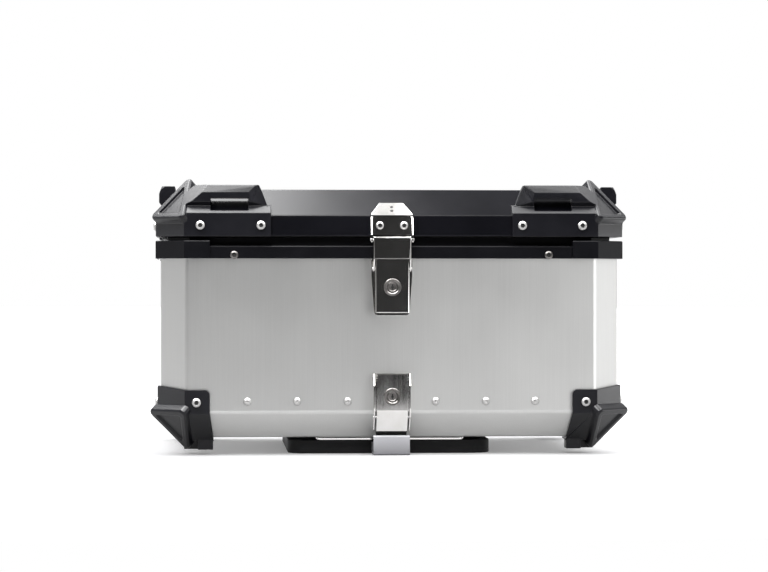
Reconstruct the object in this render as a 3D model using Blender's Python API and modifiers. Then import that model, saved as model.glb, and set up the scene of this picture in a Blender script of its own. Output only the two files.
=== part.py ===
"""Motorcycle top case, built as an assembly.

An aluminium box with a black lid, eight moulded corner guards, an over-centre lid latch,
a quick-release latch at its foot, and the rack plate that the case clips onto.

Frame: the rack plate's underside is the plane z = 0, its middle is the origin, the lid
opens upwards and both latches face -Y. Most places are given by u, the distance outwards
from the flat walls of the box, so the same numbers serve the front, back and sides.
"""

import math

import bmesh
import bpy
from mathutils import Matrix, Vector

MM = 0.001
GAP = 0.3 * MM

# Box
HALF_WIDTH = 277 * MM
HALF_DEPTH = 195 * MM
CORNER_CUT = 31 * MM
SHEET = 1.5 * MM
BOX_BOTTOM = 20.6 * MM
BOX_CREASE = BOX_BOTTOM + CORNER_CUT
BOX_TOP = 249 * MM

# Rim frame and lid
RIM_CAP_END = 218 * MM
LID_U = 1.5 * MM
LID_LOW = 265 * MM
LID_CREASE = 288 * MM
LID_CUT = 32 * MM
LID_TOP = LID_CREASE + LID_CUT

# Guards on the lid's corners
GUARD_U = 6 * MM
GUARD_LOW = 262.8 * MM
GUARD_CREASE = 291 * MM
GUARD_LEDGE = 299.4 * MM
GUARD_REACH = 145 * MM
LOOP_PROFILE = [(-4, 291), (-2.6, 299), (2.5, 304.5), (2.5, 315.5), (-1, 324.6), (-17, 324.6), (-17, 302)]
LOOP_OUTLINE = [(146, 288), (149.8, 301.4), (155.6, 316.7), (160.5, 327), (262, 327), (262, 288)]
BAR_DEPTH = 6 * MM
SLOT = (172 * MM, 217 * MM)
SLOT_HEIGHT = (293.9 * MM, 308.4 * MM)
GUARD_SCREWS = (157 * MM, 229.5 * MM)
GUARD_SCREW_Z = 276 * MM

# Guards on the box's lower corners
FOOT_U = 4 * MM
FOOT_REACH = 218 * MM
FOOT_TOP = (79 * MM, 83 * MM)
FOOT_BLOCK = (213.5 * MM, 232.3 * MM)
FOOT_LOW = 6 * MM
FOOT_SCREW = (234 * MM, 64 * MM)
HOLE_RADIUS = 2.7 * MM

# Lid latch: places are (v, z), v outwards from the front wall
LATCH_AXIS = (7.5 * MM, 233 * MM)
LINK_AXIS = (5.9 * MM, 224 * MM)
CATCH_PIN = (9.5 * MM, 258.6 * MM)
LID_LOCK_Z = 202 * MM

# Base latch
BASE_AXIS = (5 * MM, 46.2 * MM)
BASE_LOCK_Z = 71 * MM

# Hinges at the back
HINGE_AXIS = (HALF_DEPTH + 8 * MM, 259 * MM)
HINGE_X = 110 * MM

# Rack plate
PLATE_TOP = 16.7 * MM
RACK_SLOT_PLACES = ((70 * MM, -95 * MM), (70 * MM, 75 * MM))

RIVET_X = (53 * MM, 113.5 * MM, 173 * MM)
RIVET_Z = 65 * MM
RIM_SCREW = (189 * MM, 240.6 * MM)

FRONT = Matrix(((1, 0, 0, 0), (0, 0, -1, 0), (0, 1, 0, 0), (0, 0, 0, 1)))
PROFILE = Matrix(((0, 0, -1, 0), (-1, 0, 0, 0), (0, 1, 0, 0), (0, 0, 0, 1)))

FINISHES = {
    "aluminium": ((0.62, 0.62, 0.61), 1.0, 0.38),
    "black_sheet": ((0.02, 0.02, 0.022), 0.0, 0.32),
    "black_plastic": ((0.03, 0.03, 0.032), 0.0, 0.6),
    "stainless": ((0.6, 0.6, 0.6), 1.0, 0.25),
    "screw": ((0.7, 0.7, 0.7), 1.0, 0.3),
    "rubber": ((0.015, 0.015, 0.015), 0.0, 0.85),
    "black_plate": ((0.02, 0.02, 0.02), 0.0, 0.5),
}


def clear_scene():
    for obj in list(bpy.data.objects):
        bpy.data.objects.remove(obj, do_unlink=True)


def collection(name):
    made = bpy.data.collections.new(name)
    bpy.context.scene.collection.children.link(made)
    return made


clear_scene()
PARTS = collection("top_case")
CUTTERS = collection("cutters")


# ---------------------------------------------------------------- shapes


def new_object(name, bm, place=None):
    """A mesh object in the parts collection, with its origin at place."""
    mesh = bpy.data.meshes.new(name)
    bmesh.ops.recalc_face_normals(bm, faces=bm.faces)
    bm.to_mesh(mesh)
    bm.free()
    obj = bpy.data.objects.new(name, mesh)
    PARTS.objects.link(obj)
    if place is not None:
        obj.matrix_world = place
    return obj


def box(name, low, high):
    """A box between two corners given in world millimetres."""
    low, high = Vector(low) * MM, Vector(high) * MM
    bm = bmesh.new()
    bmesh.ops.create_cube(bm, size=1.0)
    bmesh.ops.scale(bm, vec=high - low, verts=bm.verts)
    return new_object(name, bm, Matrix.Translation((low + high) / 2))


def cylinder(name, centre, direction, radius, length, sides=20):
    """A cylinder about its centre, all in metres."""
    bm = bmesh.new()
    bmesh.ops.create_cone(bm, cap_ends=True, segments=sides, radius1=radius, radius2=radius, depth=length)
    turn = Vector((0, 0, 1)).rotation_difference(Vector(direction)).to_matrix().to_4x4()
    obj = new_object(name, bm, Matrix.Translation(centre) @ turn)
    obj.data.shade_smooth()
    obj.data.set_sharp_from_angle(angle=math.radians(40))
    return obj


def rounded(points, radius, steps=3):
    """The outline with each corner replaced by an arc of the given radius."""
    outline = []
    count = len(points)
    for index, point in enumerate(points):
        corner = Vector(point)
        before = (Vector(points[index - 1]) - corner).normalized()
        after = (Vector(points[(index + 1) % count]) - corner).normalized()
        half = before.angle(after) / 2
        centre = corner + (before + after).normalized() * radius / math.sin(half)
        start = corner + before * radius / math.tan(half) - centre
        end = corner + after * radius / math.tan(half) - centre
        sweep = start.angle_signed(end)
        for step in range(steps + 1):
            outline.append(centre + Matrix.Rotation(-sweep * step / steps, 2) @ start)
    return outline


def plate(name, outline, thickness, place=None):
    """A flat outline (metres, local XY) with its thickness centred on the local plane."""
    curve = bpy.data.curves.new(name, "CURVE")
    curve.dimensions = "2D"
    curve.fill_mode = "BOTH"
    curve.extrude = thickness / 2
    spline = curve.splines.new("POLY")
    spline.points.add(len(outline) - 1)
    for point, (x, y) in zip(spline.points, outline):
        point.co = (x, y, 0, 1)
    spline.use_cyclic_u = True
    holder = bpy.data.objects.new(name, curve)
    PARTS.objects.link(holder)
    evaluated = holder.evaluated_get(bpy.context.evaluated_depsgraph_get())
    bm = bmesh.new()
    bm.from_mesh(bpy.data.meshes.new_from_object(evaluated))
    bpy.data.objects.remove(holder)
    bmesh.ops.remove_doubles(bm, verts=bm.verts, dist=0.01 * MM)
    bmesh.ops.dissolve_limit(bm, angle_limit=math.radians(0.5), verts=bm.verts, edges=bm.edges)
    return new_object(name, bm, place)


def mm_outline(points):
    return [(x * MM, y * MM) for x, y in points]


def front_plate(name, outline, v_low, v_high):
    """A plate parallel to the front wall; outline is (x, z) in metres."""
    middle = Matrix.Translation((0, -HALF_DEPTH - (v_low + v_high) / 2, 0))
    return plate(name, outline, v_high - v_low, middle @ FRONT)


def front_profile(name, outline_mm, x_low, x_high):
    """A section (v, z) in millimetres, drawn along x between two places in millimetres."""
    middle = Matrix.Translation(((x_low + x_high) / 2 * MM, -HALF_DEPTH, 0))
    return plate(name, mm_outline(outline_mm), (x_high - x_low) * MM, middle @ PROFILE)


def turned(name, profile_mm, place, steps=12):
    """A profile (radius, height) in millimetres turned about the local Z axis."""
    bm = bmesh.new()
    points = [bm.verts.new((r * MM, 0, h * MM)) for r, h in profile_mm]
    for start, end in zip(points, points[1:]):
        bm.edges.new((start, end))
    obj = new_object(name, bm, place)
    screw = obj.modifiers.new("turn", "SCREW")
    screw.steps = steps
    screw.render_steps = steps
    screw.use_merge_vertices = True
    screw.merge_threshold = 0.01 * MM
    return obj


def octagon(u):
    """The box's plan outline, moved outwards by u."""
    x, y = HALF_WIDTH + u, HALF_DEPTH + u
    cut_off = CORNER_CUT + u * (2 - math.sqrt(2))
    corners = []
    for sx, sy in ((1, -1), (1, 1), (-1, 1), (-1, -1)):
        along_front, along_end = (sx * (x - cut_off), sy * y), (sx * x, sy * (y - cut_off))
        corners += [along_front, along_end] if sx * sy < 0 else [along_end, along_front]
    return corners


def rectangle(u):
    x, y = HALF_WIDTH + u, HALF_DEPTH + u
    return [(x, -y), (x, y), (-x, y), (-x, -y)]


def solid_between(name, levels):
    """The convex solid through flat outlines at given heights."""
    bm = bmesh.new()
    for z, outline in levels:
        for x, y in outline:
            bm.verts.new((x, y, z))
    bmesh.ops.convex_hull(bm, input=bm.verts)
    loose = [vert for vert in bm.verts if not vert.link_faces]
    bmesh.ops.delete(bm, geom=loose, context="VERTS")
    bmesh.ops.dissolve_limit(bm, angle_limit=math.radians(0.5), verts=bm.verts, edges=bm.edges)
    return new_object(name, bm)


def lid_block(name, u, low, crease, high=None):
    """The lid's outer form, moved outwards by u: upright walls, then a chamfer all round."""
    chamfer = CORNER_CUT + u * (2 - math.sqrt(2)) if high is None else high - crease
    levels = [(low, octagon(u)), (crease, octagon(u)), (crease + chamfer, rectangle(u - chamfer))]
    return solid_between(name, levels)


def box_block(name, u, bottom, crease, high):
    """The box's outer form, moved outwards by u, with its chamfer at the bottom."""
    chamfer = crease - bottom
    return solid_between(name, [(bottom, rectangle(u - chamfer)), (crease, octagon(u)), (high, octagon(u))])


def ring(name, profile_mm):
    """A section (u, z) in millimetres, drawn round the box's plan outline."""
    bm = bmesh.new()
    loops = []
    for u, z in profile_mm:
        loops.append([bm.verts.new((x, y, z * MM)) for x, y in octagon(u * MM)])
    for loop, following in zip(loops, loops[1:] + loops[:1]):
        for index in range(len(loop)):
            after = (index + 1) % len(loop)
            bm.faces.new((loop[index], loop[after], following[after], following[index]))
    return new_object(name, bm)


# ---------------------------------------------------------------- joining and cutting


def boolean(target, tool, operation):
    """Applies a Boolean at once and removes its tool."""
    modifier = target.modifiers.new(operation.lower(), "BOOLEAN")
    modifier.operation = operation
    modifier.solver = "EXACT"
    modifier.object = tool
    bpy.context.view_layer.update()
    evaluated = target.evaluated_get(bpy.context.evaluated_depsgraph_get())
    mesh = bpy.data.meshes.new_from_object(evaluated)
    target.modifiers.clear()
    target.data = mesh
    bpy.data.objects.remove(tool, do_unlink=True)
    return target


def join(target, *tools):
    for tool in tools:
        boolean(target, tool, "UNION")
    return target


def cut(target, *tools):
    for tool in tools:
        boolean(target, tool, "DIFFERENCE")
    return target


def keep_inside(target, *tools):
    for tool in tools:
        boolean(target, tool, "INTERSECT")
    return target


def drill(target, centres, direction, radius, length, sides=10):
    """Cuts round holes, all with one tool, kept as a live cutter."""
    bm = bmesh.new()
    turn = Vector((0, 0, 1)).rotation_difference(Vector(direction)).to_matrix().to_4x4()
    for centre in centres:
        place = Matrix.Translation(centre) @ turn
        bmesh.ops.create_cone(
            bm, cap_ends=True, segments=sides, radius1=radius, radius2=radius, depth=length, matrix=place
        )
    tool = new_object(target.name + "_drill", bm)
    PARTS.objects.unlink(tool)
    CUTTERS.objects.link(tool)
    tool.hide_render = True
    tool.display_type = "WIRE"
    modifier = target.modifiers.new("holes", "BOOLEAN")
    modifier.solver = "EXACT"
    modifier.object = tool


def mirrored(source, name, sx, sy):
    """A copy of a mesh in another quarter of the case."""
    bm = bmesh.new()
    bm.from_mesh(source.data)
    bmesh.ops.transform(bm, matrix=source.matrix_world, verts=bm.verts)
    bmesh.ops.scale(bm, vec=(sx, sy, 1), verts=bm.verts)
    if sx * sy < 0:
        bmesh.ops.reverse_faces(bm, faces=bm.faces)
    mesh = bpy.data.meshes.new(name)
    bm.to_mesh(mesh)
    bm.free()
    obj = bpy.data.objects.new(name, mesh)
    PARTS.objects.link(obj)
    return obj


def finish(obj, kind):
    """Gives the piece its own Principled material."""
    colour, metallic, roughness = FINISHES[kind]
    material = bpy.data.materials.new(obj.name + "_finish")
    material.use_nodes = True
    shader = material.node_tree.nodes["Principled BSDF"]
    shader.inputs["Base Color"].default_value = (*colour, 1)
    shader.inputs["Metallic"].default_value = metallic
    shader.inputs["Roughness"].default_value = roughness
    obj.data.materials.clear()
    obj.data.materials.append(material)
    return obj


def hang_on(location, name, *pieces):
    """Parents pieces to an empty that stands on their joint's axis."""
    axis = bpy.data.objects.new(name, None)
    axis.location = location
    PARTS.objects.link(axis)
    bpy.context.view_layer.update()
    for piece in pieces:
        piece.parent = axis
        piece.matrix_parent_inverse = axis.matrix_world.inverted()
    return axis


def at_front(v, z, x=0.0):
    return Vector((x, -HALF_DEPTH - v, z))


QUARTERS = {"front_left": (-1, -1), "front_right": (1, -1), "rear_left": (-1, 1), "rear_right": (1, 1)}


# ---------------------------------------------------------------- corner guards


def swap_sides(points):
    """Front-wing places along x as side-wing places along y, by the corner's diagonal."""
    shift = (HALF_WIDTH - HALF_DEPTH) / MM
    return [(x - shift, z) for x, z in points]


def shield_place(base, up):
    """The frame of a shield: local X along its base edge, local Z outwards."""
    outward = Vector((1, 1, up)).normalized()
    along = Vector((-up, up, 0)).normalized()
    rise = outward.cross(along)
    turn = Matrix((along, rise, outward)).transposed().to_4x4()
    return Matrix.Translation(Vector(base) * MM) @ turn


def shield_tool(name, place, outline, low, high):
    """A prism on a shield's plane, between two depths along its outward direction."""
    return plate(name, outline, high - low, place @ Matrix.Translation((0, 0, (low + high) / 2)))


def inset_triangle(half_base, height, inset):
    """An upright triangle's corners, moved in from all three edges."""
    slope = math.atan2(height, half_base)
    lift = inset
    side = inset / math.sin(slope) + lift / math.tan(slope)
    top = height - inset / math.cos(slope)
    return [(-half_base + side, lift), (half_base - side, lift), (0, top)]


def along_y(name, outline_mm, y_low, y_high):
    """An (x, z) outline in millimetres, drawn along y."""
    middle = Matrix.Translation((0, (y_low + y_high) / 2 * MM, 0))
    return plate(name, mm_outline(outline_mm), (y_high - y_low) * MM, middle @ FRONT)


def along_x(name, outline_mm, x_low, x_high):
    """A (y, z) outline in millimetres, drawn along x."""
    middle = Matrix.Translation(((x_low + x_high) / 2 * MM, 0, 0))
    turn = Matrix(((0, 0, 1, 0), (1, 0, 0, 0), (0, 1, 0, 0), (0, 0, 0, 1)))
    return plate(name, mm_outline(outline_mm), (x_high - x_low) * MM, middle @ turn)


def strap_loops(shield):
    """The two bars over the lid's top edge, one on each wing."""
    front_section = [(HALF_DEPTH / MM + u, z) for u, z in LOOP_PROFILE]
    side_section = [(HALF_WIDTH / MM + u, z) for u, z in LOOP_PROFILE]
    front = along_x("front_loop", front_section, 140, 262)
    keep_inside(front, along_y("front_loop_ends", LOOP_OUTLINE, 100, 260))
    shift = (HALF_WIDTH - HALF_DEPTH) / MM
    side = along_y("side_loop", side_section, 140 - shift, 142)
    keep_inside(side, along_x("side_loop_ends", swap_sides(LOOP_OUTLINE), 180, 340))
    back = (HALF_DEPTH - BAR_DEPTH) / MM
    first, last = SLOT[0] / MM + 0.5, SLOT[1] / MM - 0.5
    cut(front, box("front_room", (first, 150, 280), (last, back, 335)))
    cut(side, box("side_room", (230, first - shift, 280), (back + shift, last - shift, 335)))
    loops = []
    for loop in (front, side):
        outside = [(-0.12, -0.06), (0.12, -0.06), (0.12, 0.12), (-0.12, 0.12)]
        loops.append(cut(loop, shield_tool("beyond", shield, outside, 0, 50 * MM)))
    return loops


def screw_holes(guard, place, z):
    """The holes of a screw on the front wing and of its twin on the side wing."""
    shift = HALF_WIDTH - HALF_DEPTH
    cut(guard, cylinder("hole", (place, HALF_DEPTH, z), (0, 1, 0), HOLE_RADIUS, 40 * MM, 8))
    cut(guard, cylinder("hole", (HALF_WIDTH, place - shift, z), (1, 0, 0), HOLE_RADIUS, 40 * MM, 8))


def lid_guard():
    """One lid corner guard, in the quarter where x and y are positive."""
    shield = shield_place((270.5, 188.5, 286), 1.146)
    triangle = inset_triangle(28 * MM, 65 * MM, -1.5 * MM)
    recess = inset_triangle(28 * MM, 65 * MM, 7 * MM)
    guard = lid_block("lid_guard", GUARD_U, GUARD_LOW, GUARD_CREASE)
    shift = (HALF_WIDTH - HALF_DEPTH) / MM
    reach = GUARD_REACH / MM
    keep_inside(guard, box("reach", (reach, reach - shift, 250), (320, 240, GUARD_LEDGE / MM)))
    join(guard, *strap_loops(shield))
    join(guard, shield_tool("shield", shield, rounded(triangle, 4 * MM), -14 * MM, 0))
    cut(guard, shield_tool("recess", shield, rounded(recess, 2.5 * MM, 2), -3.5 * MM, 5 * MM))
    low, high = SLOT_HEIGHT[0] / MM, SLOT_HEIGHT[1] / MM
    first, last = SLOT[0] / MM, SLOT[1] / MM
    cut(guard, box("front_slot", (first, 170, low), (last, 240, high)))
    cut(guard, box("side_slot", (250, first - shift, low), (320, last - shift, high)))
    cut(guard, lid_block("lid_room", LID_U + GAP, 240 * MM, LID_CREASE + 0.12 * MM, LID_TOP + GAP))
    for place in GUARD_SCREWS:
        screw_holes(guard, place, GUARD_SCREW_Z)
    return guard


def base_guard():
    """One lower corner guard, in the quarter where x and y are positive."""
    shift = (HALF_WIDTH - HALF_DEPTH) / MM
    shield = shield_place((271, 189, 53), -1.085)
    triangle = inset_triangle(31 * MM, 61.5 * MM, -1.5 * MM)
    recess = inset_triangle(31 * MM, 61.5 * MM, 7 * MM)
    crease = BOX_CREASE - FOOT_U * (math.sqrt(2) - 1)
    bottom = crease - CORNER_CUT - FOOT_U * (2 - math.sqrt(2))
    guard = box_block("base_guard", FOOT_U, bottom, crease, FOOT_TOP[1])
    reach, slant = FOOT_REACH / MM, 213.5
    low, high = FOOT_TOP[0] / MM, FOOT_TOP[1] / MM
    front = [(slant, 0), (slant, 19), (reach, 52), (reach, low - 6), (reach + 6, low)]
    front += [(247, low), (277, high), (320, high), (320, 0)]
    side = [(slant - shift, 0), (slant - shift, 19), (reach - shift, 52), (reach - shift, low - 6)]
    side += [(reach + 6 - shift, high), (240, high), (240, 0)]
    keep_inside(guard, along_y("front_reach", front, 100, 260), along_x("side_reach", side, 180, 340))
    join(guard, shield_tool("shield", shield, rounded(triangle, 4.5 * MM), -12 * MM, 0))
    cut(guard, shield_tool("recess", shield, rounded(recess, 2.5 * MM, 2), -2.5 * MM, 5 * MM))
    first, last = FOOT_BLOCK[0] / MM, FOOT_BLOCK[1] / MM
    foot = FOOT_LOW / MM
    join(guard, box("front_foot", (first + 0.5, 148, foot), (last, 167.3, 18.4)))
    join(guard, box("side_foot", (230, first + 0.5 - shift, foot), (249.3, last - shift, 18.4)))
    cut(guard, box_block("box_room", GAP, BOX_BOTTOM - GAP, BOX_CREASE - 0.12 * MM, 120 * MM))
    screw_holes(guard, *FOOT_SCREW)
    return guard


def corner_guards():
    for kind, source in (("lid_guard", lid_guard()), ("base_guard", base_guard())):
        bpy.context.view_layer.update()
        for quarter, (sx, sy) in QUARTERS.items():
            finish(mirrored(source, f"{kind}_{quarter}", sx, sy), "black_plastic")
        bpy.data.objects.remove(source, do_unlink=True)


# ---------------------------------------------------------------- box


def front_pairs(places, z):
    """Points on the front wall, on both sides of the middle."""
    return [at_front(0, z, side * x) for x in places for side in (-1, 1)]


def case_shell():
    shell = box_block("case_shell", 0, BOX_BOTTOM, BOX_CREASE, BOX_TOP)
    inner_crease = BOX_CREASE + SHEET * (math.sqrt(2) - 1)
    cut(shell, box_block("inside", -SHEET, BOX_BOTTOM + SHEET, inner_crease, BOX_TOP + 0.05))
    holes = front_pairs(RIVET_X, RIVET_Z) + front_pairs((FOOT_SCREW[0],), FOOT_SCREW[1])
    drill(shell, holes, (0, 1, 0), HOLE_RADIUS, 10 * MM, 8)
    finish(shell, "aluminium")


def inner_tray():
    """The tray riveted inside the foot of the box, which stiffens it over the rack plate."""
    u = -SHEET - GAP
    bottom = BOX_BOTTOM + SHEET + GAP
    crease = BOX_CREASE - u * (math.sqrt(2) - 1)
    tray = box_block("inner_tray", u, bottom, crease, 78 * MM)
    inner = u - SHEET
    inner_crease = BOX_CREASE - inner * (math.sqrt(2) - 1)
    cut(tray, box_block("inside", inner, bottom + SHEET, inner_crease, 120 * MM))
    holes = front_pairs(RIVET_X, RIVET_Z) + front_pairs((FOOT_SCREW[0],), FOOT_SCREW[1])
    drill(tray, holes, (0, 1, 0), HOLE_RADIUS, 20 * MM, 8)
    finish(tray, "aluminium")


def floor_mat():
    bottom = BOX_BOTTOM / MM + 2 * (SHEET + GAP) / MM
    finish(box("floor_mat", (-240, -158, bottom), (240, 158, bottom + 3)), "rubber")


def rim():
    wall = BOX_TOP / MM + 0.4
    profile = [(3, 236.4), (3, 250.4), (2, 251.4), (-9, 251.4), (-9, 262), (-12, 262), (-12, 247)]
    profile += [(-2, 247), (-2, wall), (0.3, wall), (0.3, 236.4)]
    frame = ring("rim_frame", profile)
    drill(frame, front_pairs((RIM_SCREW[0],), RIM_SCREW[1]), (0, 1, 0), HOLE_RADIUS, 8 * MM, 8)
    finish(frame, "black_plastic")
    finish(ring("rim_seal", [(-8.6, 262.3), (-12.4, 262.3), (-12.4, 263.2), (-8.6, 263.2)]), "rubber")
    for quarter, (sx, sy) in QUARTERS.items():
        outer = 3.3 + 3
        cap = ring("rim_cap_" + quarter, [(outer, 236.4), (outer, 257), (outer - 1, 258), (-8.7, 258),
                                          (-8.7, 251.7), (3.3, 251.7), (3.3, 236.4)])
        near_x, far_x = sorted((sx * RIM_CAP_END / MM, sx * 300))
        near_y, far_y = sorted((sy * (RIM_CAP_END / MM - 82), sy * 220))
        keep_inside(cap, box("corner", (near_x, near_y, 230), (far_x, far_y, 270)))
        finish(cap, "black_plastic")


def keeper_plate():
    """The steel plate under the box; its tongues hook under the rack plate's back edge."""
    low, high = PLATE_TOP / MM + 0.5, BOX_BOTTOM / MM - 0.4
    keeper = box("keeper_plate", (-90, -162, low), (90, 134, high))
    for side in (-1, 1):
        near, far = sorted((side * 40, side * 75))
        join(keeper, box("drop", (near, 131, 5), (far, 134, low + 1)))
        join(keeper, box("tongue", (near, 118, 5), (far, 132, 8)))
    finish(keeper, "stainless")


def rack_plate():
    """The plate bolted to the motorcycle's rack, with slots for its bolts."""
    outline = rounded([(-123.5, -150), (123.5, -150), (123.5, 128), (-123.5, 128)], 22, 4)
    plate_body = plate("mounting_plate", [Vector(p) * MM for p in outline], PLATE_TOP,
                       Matrix.Translation((0, 0, PLATE_TOP / 2)))
    under_lip = 9.9
    cut(plate_body, box("hook_room", (-82, 106, -5), (82, 140, under_lip)))
    for x, y in RACK_SLOT_PLACES:
        for side in (-1, 1):
            middle = Matrix.Translation((side * x, y, 0))
            for half_long, radius, z_low in ((20, 4.3, -5), (26, 10, 8)):
                half = Vector((half_long, radius))
                ends = [-half, half * Vector((1, -1)), half, half * Vector((-1, 1))]
                slot = [Vector(p) * MM for p in rounded(ends, radius * 0.98, 4)]
                depth = Matrix.Translation((0, 0, (z_low + 25) / 2 * MM))
                cut(plate_body, plate("slot", slot, (25 - z_low) * MM, middle @ depth))
    finish(plate_body, "black_plate")

    tab = front_profile("plate_front_tab", [(-1, 0), (-1, 24), (-4.6, 24), (-4.6, 22), (-3, 22), (-3, 2),
                                            (-42.7, 2), (-42.7, 14), (-44.7, 14), (-44.7, 0)], -21.9, 21.9)
    finish(tab, "stainless")


# ---------------------------------------------------------------- lid


def lid():
    shell = lid_block("lid_shell", LID_U, LID_LOW, LID_CREASE, LID_TOP)
    inner_crease = LID_CREASE - SHEET * (math.sqrt(2) - 1)
    cut(shell, lid_block("inside", LID_U - SHEET, LID_LOW - 20 * MM, inner_crease, LID_TOP - SHEET))
    holes = [(sx * place, sy * HALF_DEPTH, GUARD_SCREW_Z)
             for place in GUARD_SCREWS for sx in (-1, 1) for sy in (-1, 1)]
    drill(shell, holes, (0, 1, 0), HOLE_RADIUS, 12 * MM, 8)
    finish(shell, "black_sheet")
    frame = ring("lid_frame", [(1.5, 263.5), (1.5, 264.7), (-0.3, 264.7), (-0.3, 270), (-2, 270), (-2, 265.5),
                               (-14, 265.5), (-14, 263.5)])
    finish(frame, "black_plastic")


def hinges():
    """Two stainless hinges: a leaf on the box, a leaf on the lid and the pin between them."""
    axis_y, axis_z = HINGE_AXIS[0] / MM, HINGE_AXIS[1] / MM
    wall = HALF_DEPTH / MM
    for side, sign in (("left", -1), ("right", 1)):
        centre = sign * HINGE_X / MM
        inner, outer = 12, 25
        lower = box("hinge_case_leaf_" + side, (centre - outer, wall + 3.3, 206),
                    (centre + outer, wall + 5.3, 253.5))
        join(lower, box("neck", (centre - inner, wall + 3.3, 250), (centre + inner, wall + 5.3, 259)))
        join(lower, box("block", (centre - outer, wall + 0.3, 206), (centre + outer, wall + 3.5, 235.8)))
        barrel = (centre * MM, HINGE_AXIS[0], HINGE_AXIS[1])
        join(lower, cylinder("barrel", barrel, (1, 0, 0), 4.5 * MM, 2 * inner * MM, 16))
        cut(lower, cylinder("bore", barrel, (1, 0, 0), 2.3 * MM, 80 * MM, 16))
        finish(lower, "stainless")

        upper = box("hinge_lid_leaf_" + side, (centre - outer, wall + 1.8, 264.5),
                    (centre + outer, wall + 3.8, 287))
        for end in (-1, 1):
            near, far = sorted((centre + end * (inner + 0.4), centre + end * outer))
            join(upper, box("neck", (near, wall + 1.8, 259), (far, wall + 3.8, 266)))
            middle = ((near + far) / 2 * MM, HINGE_AXIS[0], HINGE_AXIS[1])
            join(upper, cylinder("barrel", middle, (1, 0, 0), 4.5 * MM, (far - near) * MM, 16))
        cut(upper, cylinder("bore", barrel, (1, 0, 0), 2.3 * MM, 80 * MM, 16))
        finish(upper, "stainless")
        pin = cylinder("hinge_pin_" + side, barrel, (1, 0, 0), 2 * MM, 52 * MM, 12)
        finish(pin, "screw")


# ---------------------------------------------------------------- lid latch


def lock_housing(name, z, v_face, v_back):
    """A flanged barrel that stands in a hole of the latch lever."""
    profile = [(7, v_back), (8.7, v_back), (8.7, v_face + 0.3), (10.5, v_face + 0.3), (10.5, v_face + 1.6),
               (9.7, v_face + 2.4), (7, v_face + 2.4), (7, v_back)]
    place = Matrix.Translation(at_front(0, z)) @ FRONT
    return finish(turned(name, list(reversed(profile)), place, 20), "stainless")


def lock_plug(name, z, v_face, cam_half):
    """The turning core of a lock with its cam, which stands upright when unlocked."""
    base, face = v_face - 5.1, v_face + 1.8
    plug = cylinder(name, at_front((base + face) / 2 * MM, z), (0, 1, 0), 6.7 * MM, (face - base) * MM)
    shaft_low, shaft_high = 2.7, base + 1
    shaft_middle = at_front((shaft_low + shaft_high) / 2 * MM, z)
    join(plug, cylinder("shaft", shaft_middle, (0, 1, 0), 2.5 * MM, (shaft_high - shaft_low) * MM, 12))
    middle = z / MM
    wall = -HALF_DEPTH / MM
    join(plug, box("cam", (-2.8, wall - 4.6, middle - cam_half), (2.8, wall - 2.7, middle + cam_half)))
    cut(plug, box("key_slot", (-0.7, wall - v_face - 5, middle - 3.4), (0.7, wall - v_face, middle + 3.4)))
    return finish(plug, "screw")


def keeper_bridge(name, z, half_width, half_slot):
    """The raised bridge that a lock's cam turns behind."""
    wall = -HALF_DEPTH / MM
    middle = z / MM
    outer = half_slot + 3
    bridge = box(name, (-half_width, wall - 6.7, middle - outer), (half_width, wall - 1.5, middle + outer))
    cut(bridge, box("hollow", (-half_width - 5, wall - 5.2, middle - outer + 2),
                    (half_width + 5, wall + 5, middle + outer - 2)))
    cut(bridge, box("slot", (-3.4, wall - 9, middle - half_slot), (3.4, wall + 5, middle + half_slot)))
    return bridge


def latch_base():
    outline = mm_outline([(-21, 168), (21, 168), (24.5, 215), (24.5, 236), (-24.5, 236), (-24.5, 215)])
    base = front_plate("latch_base", outline, 0.3 * MM, 1.8 * MM)
    for side in (-1, 1):
        near, far = sorted((side * 16.3, side * 18))
        join(base, front_profile("ear", [(1.2, 222), (1.2, 235.8), (8.5, 235.8), (10.3, 234.5), (10.3, 231.5),
                                         (8.5, 229.5)], near, far))
    join(base, keeper_bridge("bridge", LID_LOCK_Z, 12, 9.8))
    pin_hole = at_front(LATCH_AXIS[0], LATCH_AXIS[1])
    cut(base, cylinder("hole", pin_hole, (1, 0, 0), 1.6 * MM, 60 * MM, 12))
    finish(base, "stainless")
    pin = cylinder("latch_pivot_pin", pin_hole, (1, 0, 0), 1.3 * MM, 41 * MM, 12)
    finish(pin, "screw")
    backing = box("latch_backing_plate", (-22, -193.2, 172), (22, -191.7, 234))
    finish(backing, "stainless")


def latch_lever():
    side = [(12.5, 236), (6, 236), (4, 233.5), (3.2, 224), (4.5, 216), (7, 185), (9, 171.5), (12.5, 171)]
    lever = front_profile("latch_lever", side, -20.5, 20.5)
    cut(lever, front_profile("inside", [(11, 240), (-5, 240), (-5, 173), (11, 173)], -19, 19))
    cut(lever, cylinder("lock_hole", at_front(12 * MM, LID_LOCK_Z), (0, 1, 0), 9 * MM, 8 * MM, 20))
    cut(lever, cylinder("hole", at_front(*LATCH_AXIS), (1, 0, 0), 1.6 * MM, 60 * MM, 12))
    cut(lever, cylinder("hole", at_front(*LINK_AXIS), (1, 0, 0), 1.6 * MM, 60 * MM, 12))
    finish(lever, "stainless")
    housing = lock_housing("lid_lock_housing", LID_LOCK_Z, 12.5, 7.4)
    plug = lock_plug("lid_lock_plug", LID_LOCK_Z, 12.5, 8.5)
    return lever, housing, plug


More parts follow.
